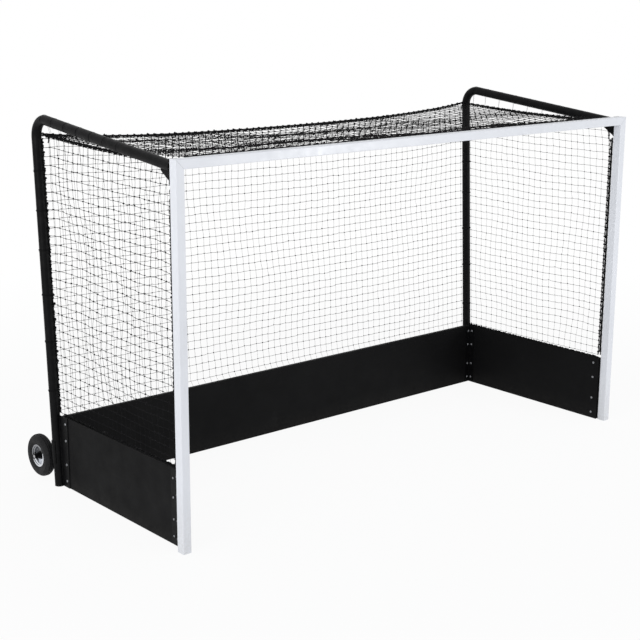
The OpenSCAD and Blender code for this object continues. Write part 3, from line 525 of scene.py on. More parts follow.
def frame_paint(colour, name="white_powder_coat"):
    """White powder coat: fine orange peel, a little dust near the ground, worn edges."""
    coat = Finish(name)
    tone = mottled(coat, 3.0, 5.0, colour, 0.97, 1.02)
    scuff = coat.times(coat.spread(coat.noise(26.0, 8.0, (1, 1, 0.35)), 0.0, 1.0, 0.60, 0.72), 0.30)
    tone = coat.mix(scuff, tone, shade(colour, 0.80))
    dust = coat.times(coat.near_ground(0.35), coat.spread(coat.noise(60.0, 6.0), 0.0, 0.35))
    tone = coat.mix(dust, tone, PALE_DUST)
    worn = coat.times(coat.edges(0.002), coat.spread(coat.noise(45.0, 6.0), 0.0, 0.5, 0.5, 0.7))
    tone = coat.mix(worn, tone, BARE_ALUMINIUM)
    coat.set(Base_Color=tone, Roughness=coat.spread(coat.noise(14.0, 6.0), 0.26, 0.40),
             Normal=coat.height(coat.noise(420.0, 3.0), 0.00012, 0.7), Specular_IOR_Level=0.5)
    return coat.material


def black_coat(colour):
    """Black powder coat with fine grain, rubbed edges and a trace of dust."""
    coat = Finish("black_powder_coat")
    tone = mottled(coat, 6.0, 6.0, colour, 0.75, 1.35)
    dust = coat.spread(coat.noise(22.0, 8.0), 0.0, 0.10, 0.48, 0.75)
    tone = coat.mix(dust, tone, (0.05, 0.049, 0.046, 1.0))
    rubbed = coat.times(coat.edges(0.0015), coat.spread(coat.noise(70.0, 5.0), 0.0, 0.35, 0.45, 0.7))
    tone = coat.mix(rubbed, tone, (0.045, 0.045, 0.048, 1.0))
    coat.set(Base_Color=tone, Roughness=coat.spread(coat.noise(30.0, 6.0), 0.34, 0.52),
             Normal=coat.height(coat.noise(520.0, 3.0), 0.00022, 0.8), Specular_IOR_Level=0.07)
    return coat.material


def board_plastic(colour):
    """Dark grey board: moulded grain, long faint scratches, ball marks and dusty lower edge."""
    board = Finish("dark_grey_board")
    tone = mottled(board, 2.2, 5.0, colour, 0.85, 1.18)
    scratch = board.spread(board.noise(9.0, 10.0, (0.5, 0.5, 14.0)), 0.0, 0.10, 0.58, 0.75)
    tone = board.mix(scratch, tone, (0.035, 0.035, 0.036, 1.0))
    marks = board.spread(board.noise(5.5, 9.0), 0.0, 0.05, 0.62, 0.72)
    tone = board.mix(marks, tone, (0.06, 0.06, 0.058, 1.0))
    dust = board.times(board.near_ground(0.12), board.spread(board.noise(40.0, 6.0), 0.0, 0.10))
    tone = board.mix(dust, tone, (0.09, 0.086, 0.078, 1.0))
    worn = board.times(board.edges(0.002), board.spread(board.noise(55.0, 5.0), 0.02, 0.22, 0.4, 0.7))
    tone = board.mix(worn, tone, (0.06, 0.06, 0.062, 1.0))
    board.set(Base_Color=tone, Roughness=board.spread(board.noise(7.0, 7.0), 0.48, 0.66),
              Normal=board.height(board.noise(300.0, 4.0), 0.0003, 0.8), Specular_IOR_Level=0.055)
    return board.material


def metal(name, colour, roughness, grain=(1, 1, 1)):
    """Plated or brushed metal with smudges and small dull specks."""
    plate = Finish(name)
    tone = mottled(plate, 35.0, 6.0, colour, 0.82, 1.1)
    tone = plate.mix(plate.spread(plate.noise(160.0, 4.0), 0.0, 0.25, 0.6, 0.8), tone, DULL_SPECK)
    plate.set(Base_Color=tone, Metallic=1.0,
              Roughness=plate.spread(plate.noise(90.0, 6.0, grain), *roughness),
              Normal=plate.height(plate.noise(260.0, 4.0, grain), 0.0002, 0.5))
    return plate.material


def rim_with_painted_reflection(name, colour, node):
    """Chrome whose colour holds a painted reflection: painted bright low on the rim, painted dark between
    and dimmer high on it.
    """
    plate = Finish(name)
    low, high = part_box(node)
    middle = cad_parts[node].matrix_world.inverted() @ ((Vector(low) + Vector(high)) / 2)
    # the painted reflection follows height along this slope, with a wavy border
    slope = Vector((0.0, 0.5, 0.87))
    height = plate.node("ShaderNodeVectorMath", {"operation": "DOT_PRODUCT"})
    plate.feed(height.inputs[0], plate.place)
    plate.feed(height.inputs[1], slope)
    uneven = plate.node("ShaderNodeMath", {"operation": "ADD"})
    plate.feed(uneven.inputs[0], height.outputs["Value"])
    plate.feed(uneven.inputs[1], plate.spread(plate.noise(34.0, 2.0), -0.014, 0.014))
    level = slope.dot(middle)
    # painted bright reflection low on the rim, and painted dark reflection above it
    painted_bright_share = plate.spread(uneven.outputs[0], 1.0, 0.0, level - 0.016, level - 0.008)
    # painted dim reflection high on the rim
    painted_dim_share = plate.spread(uneven.outputs[0], 0.0, 0.34, level + 0.018, level + 0.030)
    tone = plate.mix(painted_bright_share, PAINTED_DARK_REFLECTION, shade(colour, 1.0))
    tone = plate.mix(painted_dim_share, tone, shade(colour, 1.0))
    tone = plate.mix(plate.spread(plate.noise(160.0, 4.0), 0.0, 0.25, 0.6, 0.8), tone, DULL_SPECK)
    plate.set(Base_Color=tone, Metallic=1.0, Roughness=plate.spread(plate.noise(60.0, 6.0), 0.12, 0.34),
              Normal=plate.height(plate.noise(130.0, 4.0), 0.0006, 0.6))
    return plate.material


def tyre_rubber(colour):
    """Rubber with a faint tread grain and dust in it."""
    rubber = Finish("tyre_rubber")
    tone = mottled(rubber, 18.0, 6.0, colour, 0.75, 1.3)
    dust = rubber.spread(rubber.noise(75.0, 8.0), 0.0, 0.20, 0.5, 0.75)
    tone = rubber.mix(dust, tone, (0.07, 0.068, 0.064, 1.0))
    rubber.set(Base_Color=tone, Roughness=rubber.spread(rubber.noise(40.0, 6.0), 0.50, 0.75),
               Normal=rubber.height(rubber.noise(900.0, 3.0), 0.0004, 0.9), Specular_IOR_Level=0.15)
    return rubber.material


def fibre(name, colour, waves_per_metre):
    """Synthetic rope or twine: fine fibres, a soft sheen and faded patches."""
    yarn = Finish(name)
    tone = mottled(yarn, waves_per_metre, 3.0, colour, 0.6, 1.7)
    yarn.set(Base_Color=tone, Roughness=yarn.spread(yarn.noise(waves_per_metre / 4, 2.0), 0.62, 0.85),
             Normal=yarn.height(yarn.noise(waves_per_metre * 2, 2.0), 0.0004, 0.8),
             Specular_IOR_Level=0.10)
    return yarn.material


def moulded_plastic(name, colour):
    """A moulded plastic cap."""
    cap = Finish(name)
    tone = mottled(cap, 50.0, 5.0, colour, 0.85, 1.1)
    cap.set(Base_Color=tone, Roughness=cap.spread(cap.noise(80.0, 5.0), 0.42, 0.6),
            Normal=cap.height(cap.noise(700.0, 3.0), 0.0002, 0.7), Specular_IOR_Level=0.4)
    return cap.material


def shared(maker, name, *values):
    """The material of that name, made once."""
    return bpy.data.materials.get(name) or maker(*values)


def rope_finish():
    return shared(fibre, "black_rope", "black_rope", bpy.context.scene.goal_colour.twine, 900.0)


def twine_finish():
    return shared(fibre, "black_twine", "black_twine", bpy.context.scene.goal_colour.twine, 300.0)


def coat_finish():
    return shared(black_coat, "black_powder_coat", bpy.context.scene.goal_colour.black_coat)


def zinc_finish():
    return shared(metal, "zinc_plate", "zinc_plate", bpy.context.scene.goal_colour.zinc, (0.32, 0.55))


def give_finish(nodes, material):
    """Puts a material on carried-over CAD nodes."""
    for name in nodes:
        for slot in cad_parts[name].material_slots:
            slot.material = material


def both(*names):
    """Node names with left_ and right_ before them."""
    return [f"{side}_{name}" for name in names for side in SIDES]


# ---------- ropes, lacing and nets ----------

# half the width of the hitch at each mesh of the net, by what the lace is wound round
LEG_HITCH = 0.0105
POST_HITCH = 0.0075
BOARD_HITCH = 0.0045
BAR_HITCH = 0.006
SIDE_HITCH = 0.006
REAR_HITCH = 0.007
# from the middle of the post's rod or edge cord to the inside of a tie round both
TIE_CLEARANCE = 0.0065
# how thick the lace along the legs is, as a share of the other lace
LEG_LACE_SHARE = 1.4


def add_lacing(parts, path, core, lace, spacing, rng, knot):
    """A lace wound round a rope or rod, with a hitch at each mesh of the net."""
    run = distances(path)[-1]
    turns = max(1, round(run / spacing))
    steps = turns * 12
    shares = np.linspace(0, 1, steps + 1)
    centre = along(path, shares)
    across, up = path_frames(centre)
    phase = rng.uniform(0, 2 * math.pi)
    angle = phase + 2 * math.pi * shares * turns + 0.5 * np.sin(2 * math.pi * shares * turns)
    reach = core + lace / 2
    helix = centre + reach * (np.cos(angle)[:, None] * across + np.sin(angle)[:, None] * up)
    parts.add(*tube(helix, lace / 2, 6))
    hitch_shares = (np.arange(turns) + 0.5 + rng.uniform(-0.12, 0.12, turns)) / turns
    places = along(path, hitch_shares)
    ahead = unit(along(path, np.minimum(hitch_shares + 0.002, 1)) - along(path, hitch_shares - 0.002))
    for place, axis in zip(places, ahead):
        for shift in (-0.55, 0.55):
            loop = ring_path(place + shift * lace * axis, axis, reach + lace * 0.15, 10,
                             rng.uniform(-1, 1) * lace)
            parts.add(*closed_tube(loop, lace / 2, 5))
    side = unit(rng.normal(size=(turns, 3)))
    side = unit(side - ahead * np.sum(side * ahead, axis=1, keepdims=True))
    add_lumps(parts, places + side * (core + lace * 0.6), knot, rng)


def add_ties(parts, first, second, reach, lace, spacing, rng):
    """Loops of lace round two lines that run side by side, two to a mesh."""
    count = max(2, round(distances(first)[-1] / spacing))
    shares = (np.arange(count) + 0.5) / count
    t = np.linspace(0, 2 * math.pi, 18, endpoint=False)[:, None]
    for a, b in zip(along(first, shares), along(second, shares)):
        apart = unit(b - a)
        square = unit(np.cross(first[-1] - first[0], apart))
        for shift in (-0.6, 0.6):
            middle = (a + b) / 2 + (0, 0, shift * lace + rng.uniform(-0.3, 0.3) * lace)
            tilt = rng.uniform(-1, 1) * lace * np.cos(t) * (0, 0, 1)
            long = (np.linalg.norm(b - a) / 2 + reach) * np.cos(t) * apart
            parts.add(*closed_tube(middle + long + reach * 1.2 * np.sin(t) * square + tilt, lace / 2, 5))


# how far single knots and the middles of strands stray, and how far a row's strands droop
KNOT_JITTER = 0.0014
STRAND_JITTER = 0.0009
ROW_DROOP = 0.0012
# half the width of rows and columns in diameters of the twine, and in halves of the head twine
ROW_RADIUS = 0.58
COLUMN_RADIUS = 0.42
HEAD_ROW_RADIUS = 0.9
HEAD_COLUMN_RADIUS = 1.6
HEAD_KNOT_RADIUS = 3.4


def waves(u, v, rng, most, count=7):
    """Smooth seeded waves over a net, mostly between -1 and 1."""
    total = np.zeros_like(u)
    for _ in range(count):
        a, b = rng.uniform(-most, most, 2)
        total += np.sin(2 * math.pi * (a * u + b * v) + rng.uniform(0, 2 * math.pi))
    return total / math.sqrt(count)


def net_places(low, high, start, end, columns, rows):
    """Knot places between four edge curves. low and high run from start to end."""
    u = np.linspace(0, 1, columns + 1)
    v = np.linspace(0, 1, rows + 1)
    below, above = along(low, u)[None], along(high, u)[None]
    first, last = along(start, v)[:, None], along(end, v)[:, None]
    uu, vv = np.meshgrid(u, v)
    wide, tall = uu[..., None], vv[..., None]
    corners = ((1 - wide) * (1 - tall) * below[:, :1] + wide * (1 - tall) * below[:, -1:]
               + (1 - wide) * tall * above[:, :1] + wide * tall * above[:, -1:])
    return (1 - tall) * below + tall * above + (1 - wide) * first + wide * last - corners, uu, vv


def inside_share(u, v, reach=0.12):
    """0 on a net's edges and 1 a little way inside."""
    def rise(t):
        t = np.clip(np.minimum(t, 1 - t) / reach, 0, 1)
        return t * t * (3 - 2 * t)
    return rise(u) * rise(v)


def loosen(places, u, v, out, net, rng, bulge):
    """Shifts a net's knots as slack twine lies: a drift within the plane and a bulge out of it."""
    inner = inside_share(u, v)[..., None]
    down = np.array([0.0, 0.0, 1.0]) if abs(out[2]) < 0.5 else np.array([0.0, 1.0, 0.0])
    sideways = np.cross(out, down)
    drift = (waves(u, v, rng, 4.0)[..., None] * sideways + waves(u, v, rng, 4.0)[..., None] * down)
    jitter = rng.normal(size=places.shape) * KNOT_JITTER
    outward = bulge * waves(u, v, rng, 3.0)[..., None] * out
    return places + inner * (net.drift * 0.6 * drift + outward + jitter)


def add_strands(parts, lines, out, radius):
    """Four-sided strands through rows of places. out is roughly square to the net."""
    ahead = unit(np.gradient(lines, axis=1))
    across = unit(np.cross(ahead, np.broadcast_to(out, lines.shape)))
    up = np.cross(across, ahead)
    rings = np.stack([lines + radius * across, lines + radius * up,
                      lines - radius * across, lines - radius * up], axis=2)
    count, points = lines.shape[:2]
    faces = []
    for i in range(count):
        first = i * points * 4
        for j in range(points - 1):
            base = first + j * 4
            for k in range(4):
                a, b = base + k, base + (k + 1) % 4
                faces.append([a, b, b + 4, a + 4])
        last = first + (points - 1) * 4
        faces.append([first + 3, first + 2, first + 1, first])
        faces.append([last, last + 1, last + 2, last + 3])
    parts.add(rings, faces)


def with_middles(places, droop, rng):
    """Adds a place between each two knots of each row, drooping a little."""
    count, points = places.shape[:2]
    lines = np.empty((count, 2 * points - 1, 3))
    lines[:, ::2] = places
    middle = (places[:, 1:] + places[:, :-1]) / 2
    lines[:, 1::2] = middle + rng.normal(size=middle.shape) * STRAND_JITTER - np.array([0, 0, droop])
    return lines


# where the doubled twine starts and stops to thin out, from the middle of the goal
HEAD_THIN_FROM = 0.95
HEAD_THIN_TO = 1.40
HEAD_LEAST = 0.32


def head_share(places):
    """1 over the middle of the goal, and down to plain twine towards the legs."""
    return np.interp(np.abs(places[..., :1]), (HEAD_THIN_FROM, HEAD_THIN_TO), (1.0, HEAD_LEAST))


def net_piece(name, node, places, out, twine, seed, head=0):
    """A knotted net through its places, standing for its CAD node; head rows of meshes are doubled."""
    knot = twine * bpy.context.scene.goal_net.knot
    rng = np.random.default_rng(seed)
    parts = Parts()
    add_strands(parts, with_middles(places, ROW_DROOP, rng), out, twine * ROW_RADIUS)
    add_strands(parts, with_middles(places.transpose(1, 0, 2), 0.0, rng), out, twine * COLUMN_RADIUS)
    add_lumps(parts, places, knot, rng)
    if head:
        doubled = places[-head - 1:]
        thick = bpy.context.scene.goal_net.head_twine / 2
        rows = with_middles(doubled, ROW_DROOP, rng)
        columns = with_middles(doubled.transpose(1, 0, 2), 0.0, rng)
        add_strands(parts, rows, out, thick * HEAD_ROW_RADIUS * head_share(rows))
        add_strands(parts, columns, out, thick * HEAD_COLUMN_RADIUS * head_share(columns))
        sizes = thick * HEAD_KNOT_RADIUS * head_share(doubled)
        add_lumps(parts, doubled, sizes.reshape(-1, 1, 1), rng)
    piece = parts.build(name, twine_finish())
    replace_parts(piece, node)
    return piece


def meshes(length):
    """How many meshes of the net fit a length."""
    return max(2, round(length / bpy.context.scene.goal_net.mesh_size))


# places of the nets' edges on the right-hand side, from the rods behind the post and crossbar
POST_EDGE_OUT = 0.014
POST_EDGE_BACK = 0.029
BINDING_OUT = 0.006
BINDING_BACK = 0.0105
BINDING_DIAMETER = 0.010
BAR_EDGE_UP = 0.009
# where an edge cord starts above the board's rope, and a height about halfway up it
CORD_START = 0.004
CORD_MIDDLE = 1.2
# how far below the bracket the post's tied stretch and its bound stretch end
TIES_END = 0.10
BINDING_END = 0.016
# how far a net's edge lies inside or below the cord or head rope that holds it
SIDE_NET_INSET = 0.006
NET_BELOW_ROPE = 0.010
TOP_NET_INSET = 0.008
# lengths of the steps in which ropes are drawn, and in which a lace follows them
HEAD_ROPE_STEP = 0.004
LEG_CORD_STEP = 0.003
ROPE_STEP = 0.0035
ROUTE_STEP = 0.01
rod_x = (rod_low.x + rod_high.x) / 2
rod_y = rod_high.y - ROD_RADIUS
bar_rod_z = (bar_rod_low.z + bar_rod_high.z) / 2
side_rope_x = board_rope_high.x - BORDER_RADIUS
side_rope_z = board_rope_high.z - BORDER_RADIUS
back_rope_y = board_rope_high.y - BORDER_RADIUS
back_rope_z = board_rope_low.z + BORDER_RADIUS
side_rope_end = back_high.y - 0.005


def post_edge():
    """The edge cord behind the right post, from the board to the front eye."""
    x, y = rod_x + POST_EDGE_OUT, rod_y + POST_EDGE_BACK
    top = SIDE_ROPE_POINTS[0]
    return [(x, y, board_rope_high.z + CORD_START), (x, y, CORD_MIDDLE), (x, y, bracket_low.z - 0.12),
            (x - 0.016, y, bracket_low.z - 0.012), (top[0], y, top[2] - 0.014)]


def post_rod(below_bracket):
    """The rod behind the right post, up to a distance below the bracket."""
    return [(rod_x, rod_y, board_rope_high.z + 0.03), (rod_x, rod_y, bracket_low.z - below_bracket)]


def leg_cord():
    """The edge cord along the right leg, from the board to the rear eye."""
    distance = TUBE_RADIUS + bpy.context.scene.goal_rope.edge / 2
    return [leg_edge(z, distance) for z in (board_rope_high.z + CORD_START, CORD_MIDDLE, leg_rope_high.z)]


def bar_edge():
    """The edge cord over the rod behind the crossbar, from the left to the right."""
    z = bar_rod_z + BAR_EDGE_UP
    half = bar_rod_high.x
    return [(-half, rod_y, z), (0, rod_y, z), (half, rod_y, z)]


def side_board_run():
    """The rope on the right side board."""
    return [(side_rope_x, board_rope_low.y, side_rope_z), (side_rope_x, side_rope_end, side_rope_z)]


def back_board_run():
    """The rope on the back board, from the left to the right."""
    return [(-back_high.x, back_rope_y, back_rope_z), (back_high.x, back_rope_y, back_rope_z)]


def mirror_path(points, side):
    return [(side * p[0], p[1], p[2]) for p in points]


def shifted(points, x=0.0, y=0.0, z=0.0):
    return [(p[0] + x, p[1] + y, p[2] + z) for p in points]


# ---------- operators ----------

class GoalOperator:
    """What all operators here share."""

    bl_options = {"REGISTER", "UNDO"}


class GOAL_OT_stage(GoalOperator, bpy.types.Operator):
    """Camera, lamps, even room light and a plain pale floor"""

    bl_idname = "goal.stage"
    bl_label = "Stage"

    def execute(self, context):
        stage = context.scene.goal_stage
        context.scene.view_settings.view_transform = "Standard"
        self.camera(context, stage)
        self.lamp("key_lamp", (-14.0, -4.0, 3.6), 7.0, stage.key_power)
        self.lamp("front_lamp", (-1.5, -9.0, 4.5), 6.0, stage.front_power)
        self.lamp("gleam_lamp", (3.9, -6.6, 1.3), 1.2, stage.gleam_power)
        self.room(context, stage)
        self.floor(context)
        return {"FINISHED"}

    def camera(self, context, stage):
        turn, tip, roll = stage.turn, stage.tip, stage.roll
        ahead = Vector((math.sin(turn) * math.cos(tip), math.cos(turn) * math.cos(tip), -math.sin(tip)))
        level = Vector((math.cos(turn), -math.sin(turn), 0.0))
        upright = level.cross(ahead)
        right = math.cos(roll) * level + math.sin(roll) * upright
        up = math.cos(roll) * upright - math.sin(roll) * level
        camera = bpy.data.objects.new("camera", bpy.data.cameras.new("camera"))
        camera.data.lens = stage.lens
        camera.data.clip_end = 200.0
        turned = Matrix((right, up, -ahead)).transposed().to_4x4()
        camera.matrix_world = Matrix.Translation(stage.camera_place) @ turned
        context.scene.collection.objects.link(camera)
        context.scene.camera = camera

    def lamp(self, name, place, size, power):
        data = bpy.data.lights.new(name, "AREA")
        data.shape = "DISK"
        data.size = size
        data.energy = power
        lamp = bpy.data.objects.new(name, data)
        lamp.location = place
        aim = Vector((0.0, 0.0, 1.0)) - Vector(place)
        lamp.rotation_mode = "QUATERNION"
        lamp.rotation_quaternion = aim.to_track_quat("-Z", "Y")
        bpy.context.scene.collection.objects.link(lamp)

    def seen(self, tree):
        """A share that is 1 for the background as the camera, gloss and glass see it."""
        path = tree.nodes.new("ShaderNodeLightPath")
        share = path.outputs["Is Camera Ray"]
        for name in ("Is Glossy Ray", "Is Transmission Ray"):
            most = tree.nodes.new("ShaderNodeMath")
            most.operation = "MAXIMUM"
            tree.links.new(share, most.inputs[0])
            tree.links.new(path.outputs[name], most.inputs[1])
            share = most.outputs[0]
        return share

    def room(self, context, stage):
        world = bpy.data.worlds.new("room")
        world.use_nodes = True
        tree = world.node_tree
        light = tree.nodes["Background"]
        light.inputs["Color"].default_value = (0.96, 0.98, 1.0, 1.0)
        light.inputs["Strength"].default_value = stage.room_light
        white = tree.nodes.new("ShaderNodeBackground")
        white.inputs["Color"].default_value = (1.0, 1.0, 1.0, 1.0)
        white.inputs["Strength"].default_value = 1.0
        choice = tree.nodes.new("ShaderNodeMixShader")
        tree.links.new(self.seen(tree), choice.inputs[0])
        tree.links.new(light.outputs[0], choice.inputs[1])
        tree.links.new(white.outputs[0], choice.inputs[2])
        tree.links.new(choice.outputs[0], tree.nodes["World Output"].inputs["Surface"])
        context.scene.world = world

    def floor(self, context):
        material = bpy.data.materials.new("pale_floor")
        material.use_nodes = True
        tree = material.node_tree
        tree.nodes.remove(tree.nodes["Principled BSDF"])
        matt = tree.nodes.new("ShaderNodeBsdfDiffuse")
        matt.inputs["Color"].default_value = (0.82, 0.82, 0.82, 1.0)
        glow = tree.nodes.new("ShaderNodeEmission")
        glow.inputs["Color"].default_value = (1.0, 1.0, 1.0, 1.0)
        glow.inputs["Strength"].default_value = 1.0
        place = tree.nodes.new("ShaderNodeTexCoord")
        length = tree.nodes.new("ShaderNodeVectorMath")
        length.operation = "LENGTH"
        tree.links.new(place.outputs["Object"], length.inputs[0])
        fade = tree.nodes.new("ShaderNodeMapRange")
        for name, value in (("From Min", 2.8), ("From Max", 6.5), ("To Min", 0.93), ("To Max", 1.0)):
            fade.inputs[name].default_value = value
        tree.links.new(length.outputs["Value"], fade.inputs["Value"])
        amount = tree.nodes.new("ShaderNodeMath")
        amount.operation = "MULTIPLY"
        tree.links.new(fade.outputs["Result"], amount.inputs[1])
        tree.links.new(self.seen(tree), amount.inputs[0])
        choice = tree.nodes.new("ShaderNodeMixShader")
        tree.links.new(amount.outputs[0], choice.inputs[0])
        tree.links.new(matt.outputs[0], choice.inputs[1])
        tree.links.new(glow.outputs[0], choice.inputs[2])
        tree.links.new(choice.outputs[0], tree.nodes["Material Output"].inputs["Surface"])
        half = 40.0
        mesh = bpy.data.meshes.new("floor")
        mesh.from_pydata([(-half, -half, 0), (half, -half, 0), (half, half, 0), (-half, half, 0)], [],
                         [(0, 1, 2, 3)])
        mesh.materials.append(material)
        floor = bpy.data.objects.new("floor", mesh)
        context.scene.collection.objects.link(floor)


class GOAL_OT_head_ropes(GoalOperator, bpy.types.Operator):
    """The two side ropes and the sagging rear rope that carry the top of the nets"""

    bl_idname = "goal.head_ropes"
    bl_label = "Head ropes"

    def execute(self, context):
        diameter = context.scene.goal_rope.head
        routes = {f"{side}_head_rope": mirror_path(SIDE_ROPE_POINTS, sign)
                  for side, sign in SIDES.items()}
        routes["rear_head_rope"] = REAR_ROPE_POINTS
        for name, points in routes.items():
            path = smooth_route(points, HEAD_ROPE_STEP)
            parts = Parts()
            parts.add(*laid_rope(path, diameter))
            rope = parts.build(f"laid_{name}", rope_finish())
            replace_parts(rope, name)
        return {"FINISHED"}


class GOAL_OT_border_ropes(GoalOperator, bpy.types.Operator):
    """Edge cords along the legs, posts and crossbar, and ropes along the boards"""

    bl_idname = "goal.border_ropes"
    bl_label = "Border ropes"

    def execute(self, context):
        ropes = context.scene.goal_rope
        legs = Parts()
        for side in SIDES.values():
            path = smooth_route(mirror_path(leg_cord(), side), LEG_CORD_STEP)
            legs.add(*laid_rope(path, ropes.edge, 9))
        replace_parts(legs.build("leg_edge_cords", rope_finish()), "leg_border_ropes")
        boards = Parts()
        for side in SIDES.values():
            path = even_route(mirror_path(side_board_run(), side), ROPE_STEP)
            boards.add(*laid_rope(path, ropes.border, 12))
        boards.add(*laid_rope(even_route(back_board_run(), ROPE_STEP), ropes.border, 12))
        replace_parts(boards.build("board_edge_ropes", rope_finish()), "board_border_ropes")
        front = Parts()
        for side in SIDES.values():
            path = smooth_route(mirror_path(post_edge(), side), ROPE_STEP)
            front.add(*laid_rope(path, ropes.edge, 12))
            binding = mirror_path(shifted(post_rod(BINDING_END), BINDING_OUT, BINDING_BACK), side)
            front.add(*laid_rope(even_route(binding, ROPE_STEP), BINDING_DIAMETER, 12))
        front.add(*laid_rope(even_route(bar_edge(), ROPE_STEP), ropes.border, 12))
        front.build("front_edge_ropes", rope_finish())
        return {"FINISHED"}


class GOAL_OT_lacing(GoalOperator, bpy.types.Operator):
    """The lace that ties the nets to the ropes, rods and legs, mesh by mesh"""

    bl_idname = "goal.lacing"
    bl_label = "Lacing"

    def execute(self, context):
        ropes = context.scene.goal_rope
        pitch = context.scene.goal_net.mesh_size
        rng = np.random.default_rng(11)
        upright = Parts()
        for side in SIDES.values():
            path = smooth_route(mirror_path(leg_cord(), side), ROUTE_STEP)
            add_lacing(upright, path, ropes.edge / 2, ropes.lace * LEG_LACE_SHARE, pitch, rng, LEG_HITCH)
            path = smooth_route(mirror_path(post_edge(), side), ROUTE_STEP)
            add_lacing(upright, path, ropes.border / 2, ropes.lace, pitch, rng, POST_HITCH)
            rod = np.array(mirror_path(post_rod(TIES_END), side))
            cord = rod + (side * POST_EDGE_OUT, POST_EDGE_BACK, 0)
            add_ties(upright, rod, cord, TIE_CLEARANCE + ropes.lace / 2, ropes.lace, pitch, rng)
        upright.build("upright_lacing", rope_finish())
        low = Parts()
        for run in (*(mirror_path(side_board_run(), side) for side in SIDES.values()), back_board_run()):
            path = even_route(run, ROUTE_STEP)
            add_lacing(low, path, ropes.border / 2, ropes.lace, pitch, rng, BOARD_HITCH)
        low.build("board_lacing", rope_finish())
        high = Parts()
        path = even_route(bar_edge(), ROUTE_STEP)
        add_lacing(high, path, ropes.border / 2, ropes.lace, pitch, rng, BAR_HITCH)
        for side in SIDES.values():
            path = smooth_route(mirror_path(SIDE_ROPE_POINTS, side), ROUTE_STEP)[2:-3]
            add_lacing(high, path, ropes.head / 2, ropes.lace, pitch, rng, SIDE_HITCH)
        path = smooth_route(REAR_ROPE_POINTS, ROUTE_STEP)[3:-3]
        add_lacing(high, path, ropes.head / 2, ropes.lace, pitch, rng, REAR_HITCH)
        high.build("top_lacing", rope_finish())
        return {"FINISHED"}


class GOAL_OT_side_nets(GoalOperator, bpy.types.Operator):
    """The two nets between the posts and the legs"""

    bl_idname = "goal.side_nets"
    bl_label = "Side nets"

    def execute(self, context):
        net = context.scene.goal_net
        front = shifted(post_edge(), y=SIDE_NET_INSET)
        rear = shifted(leg_cord(), y=-SIDE_NET_INSET)
        below = [front[0], rear[0]]
        above = [front[-1]] + shifted(SIDE_ROPE_POINTS[1:-1], z=-NET_BELOW_ROPE) + [rear[-1]]
        columns = meshes(rear[0][1] - front[0][1])
        rows = meshes(front[-1][2] - front[0][2])
        out = np.array([1.0, 0.0, 0.0])
        for seed, (side, sign) in enumerate(SIDES.items()):
            rng = np.random.default_rng(20 + seed)
            places, u, v = net_places(below, above, front, rear, columns, rows)
            places = loosen(places, u, v, out, net, rng, net.bulge) * (sign, 1, 1)
            net_piece(f"{side}_knotted_net", f"{side}_side_net", places, out,
                      net.side_twine[seed], 30 + seed)
        return {"FINISHED"}


# how far the back net bulges, as a share of the side nets' bulge
BACK_BULGE_SHARE = 0.7


class GOAL_OT_back_net(GoalOperator, bpy.types.Operator):
    """The net between the two legs"""

    bl_idname = "goal.back_net"
    bl_label = "Back net"

    def execute(self, context):
        net = context.scene.goal_net
        rng = np.random.default_rng(40)
        right = [(back_high.x, back_rope_y + 0.006, back_rope_z + 0.004)] + leg_cord()
        left = mirror_path(right, -1)
        below = [left[0], right[0]]
        above = [left[-1]] + shifted(REAR_ROPE_POINTS[1:-1], z=-NET_BELOW_ROPE) + [right[-1]]
        columns = meshes(2 * back_high.x)
        rows = meshes(REAR_ROPE_POINTS[len(REAR_ROPE_POINTS) // 2][2] - back_rope_z)
        out = np.array([0.0, 1.0, 0.0])
        places, u, v = net_places(below, above, left, right, columns, rows)
        places = loosen(places, u, v, out, net, rng, net.bulge * BACK_BULGE_SHARE)
        net_piece("back_knotted_net", "back_net", places, out, net.back_twine, 41, net.head_meshes)
        return {"FINISHED"}


# depths of the top net's close and wide folds, and how far its knots stray from them
CLOSE_FOLD = 0.0012
WIDE_FOLD = 0.003
FOLD_JITTER = 0.0012


class GOAL_OT_top_net(GoalOperator, bpy.types.Operator):
    """The net over the goal, hanging a little below its edges"""

    bl_idname = "goal.top_net"
    bl_label = "Top net"

    def execute(self, context):
        net = context.scene.goal_net
        rng = np.random.default_rng(50)
        right = shifted(SIDE_ROPE_POINTS, x=-TOP_NET_INSET)
        left = mirror_path(right, -1)
        below = [left[0]] + shifted(bar_edge(), y=0.006) + [right[0]]
        above = [left[-1]] + shifted(REAR_ROPE_POINTS[1:-1], y=-TOP_NET_INSET) + [right[-1]]
        columns = meshes(2 * right[0][0] * net.slack)
        rows = meshes((right[-1][1] - right[0][1]) * net.slack)
        out = np.array([0.0, 0.0, 1.0])
        places, u, v = net_places(below, above, left, right, columns, rows)
        places = loosen(places, u, v, out, net, rng, net.bulge)
        fold = waves(u * 3, v, rng, 5.0, 9) * CLOSE_FOLD + waves(u, v, rng, 2.0, 5) * WIDE_FOLD
        places += inside_share(u, v)[..., None] * rng.normal(size=places.shape) * FOLD_JITTER
        hang = -net.top_sag * (4 * v * (1 - v)) * (0.55 + 0.45 * (4 * u * (1 - u)) ** 0.5)
        places[..., 2] += hang + inside_share(u, v) * fold
        net_piece("top_knotted_net", "top_net", places, out, net.top_twine, 51)
        return {"FINISHED"}


# where the cords that hold a side rope go up round the arm, and where lace is wound round a leg
ARM_TIE_PLACES = (-0.30, -0.16, -0.02, 0.12, 0.26, 0.40, 0.52)
LEG_WRAP_HEIGHTS = (0.62, 0.93, 1.22, 1.50, 1.74, 1.98)
# how thick the cords round an arm are, as a share of the lace
THIN_CORD_SHARE = 0.4


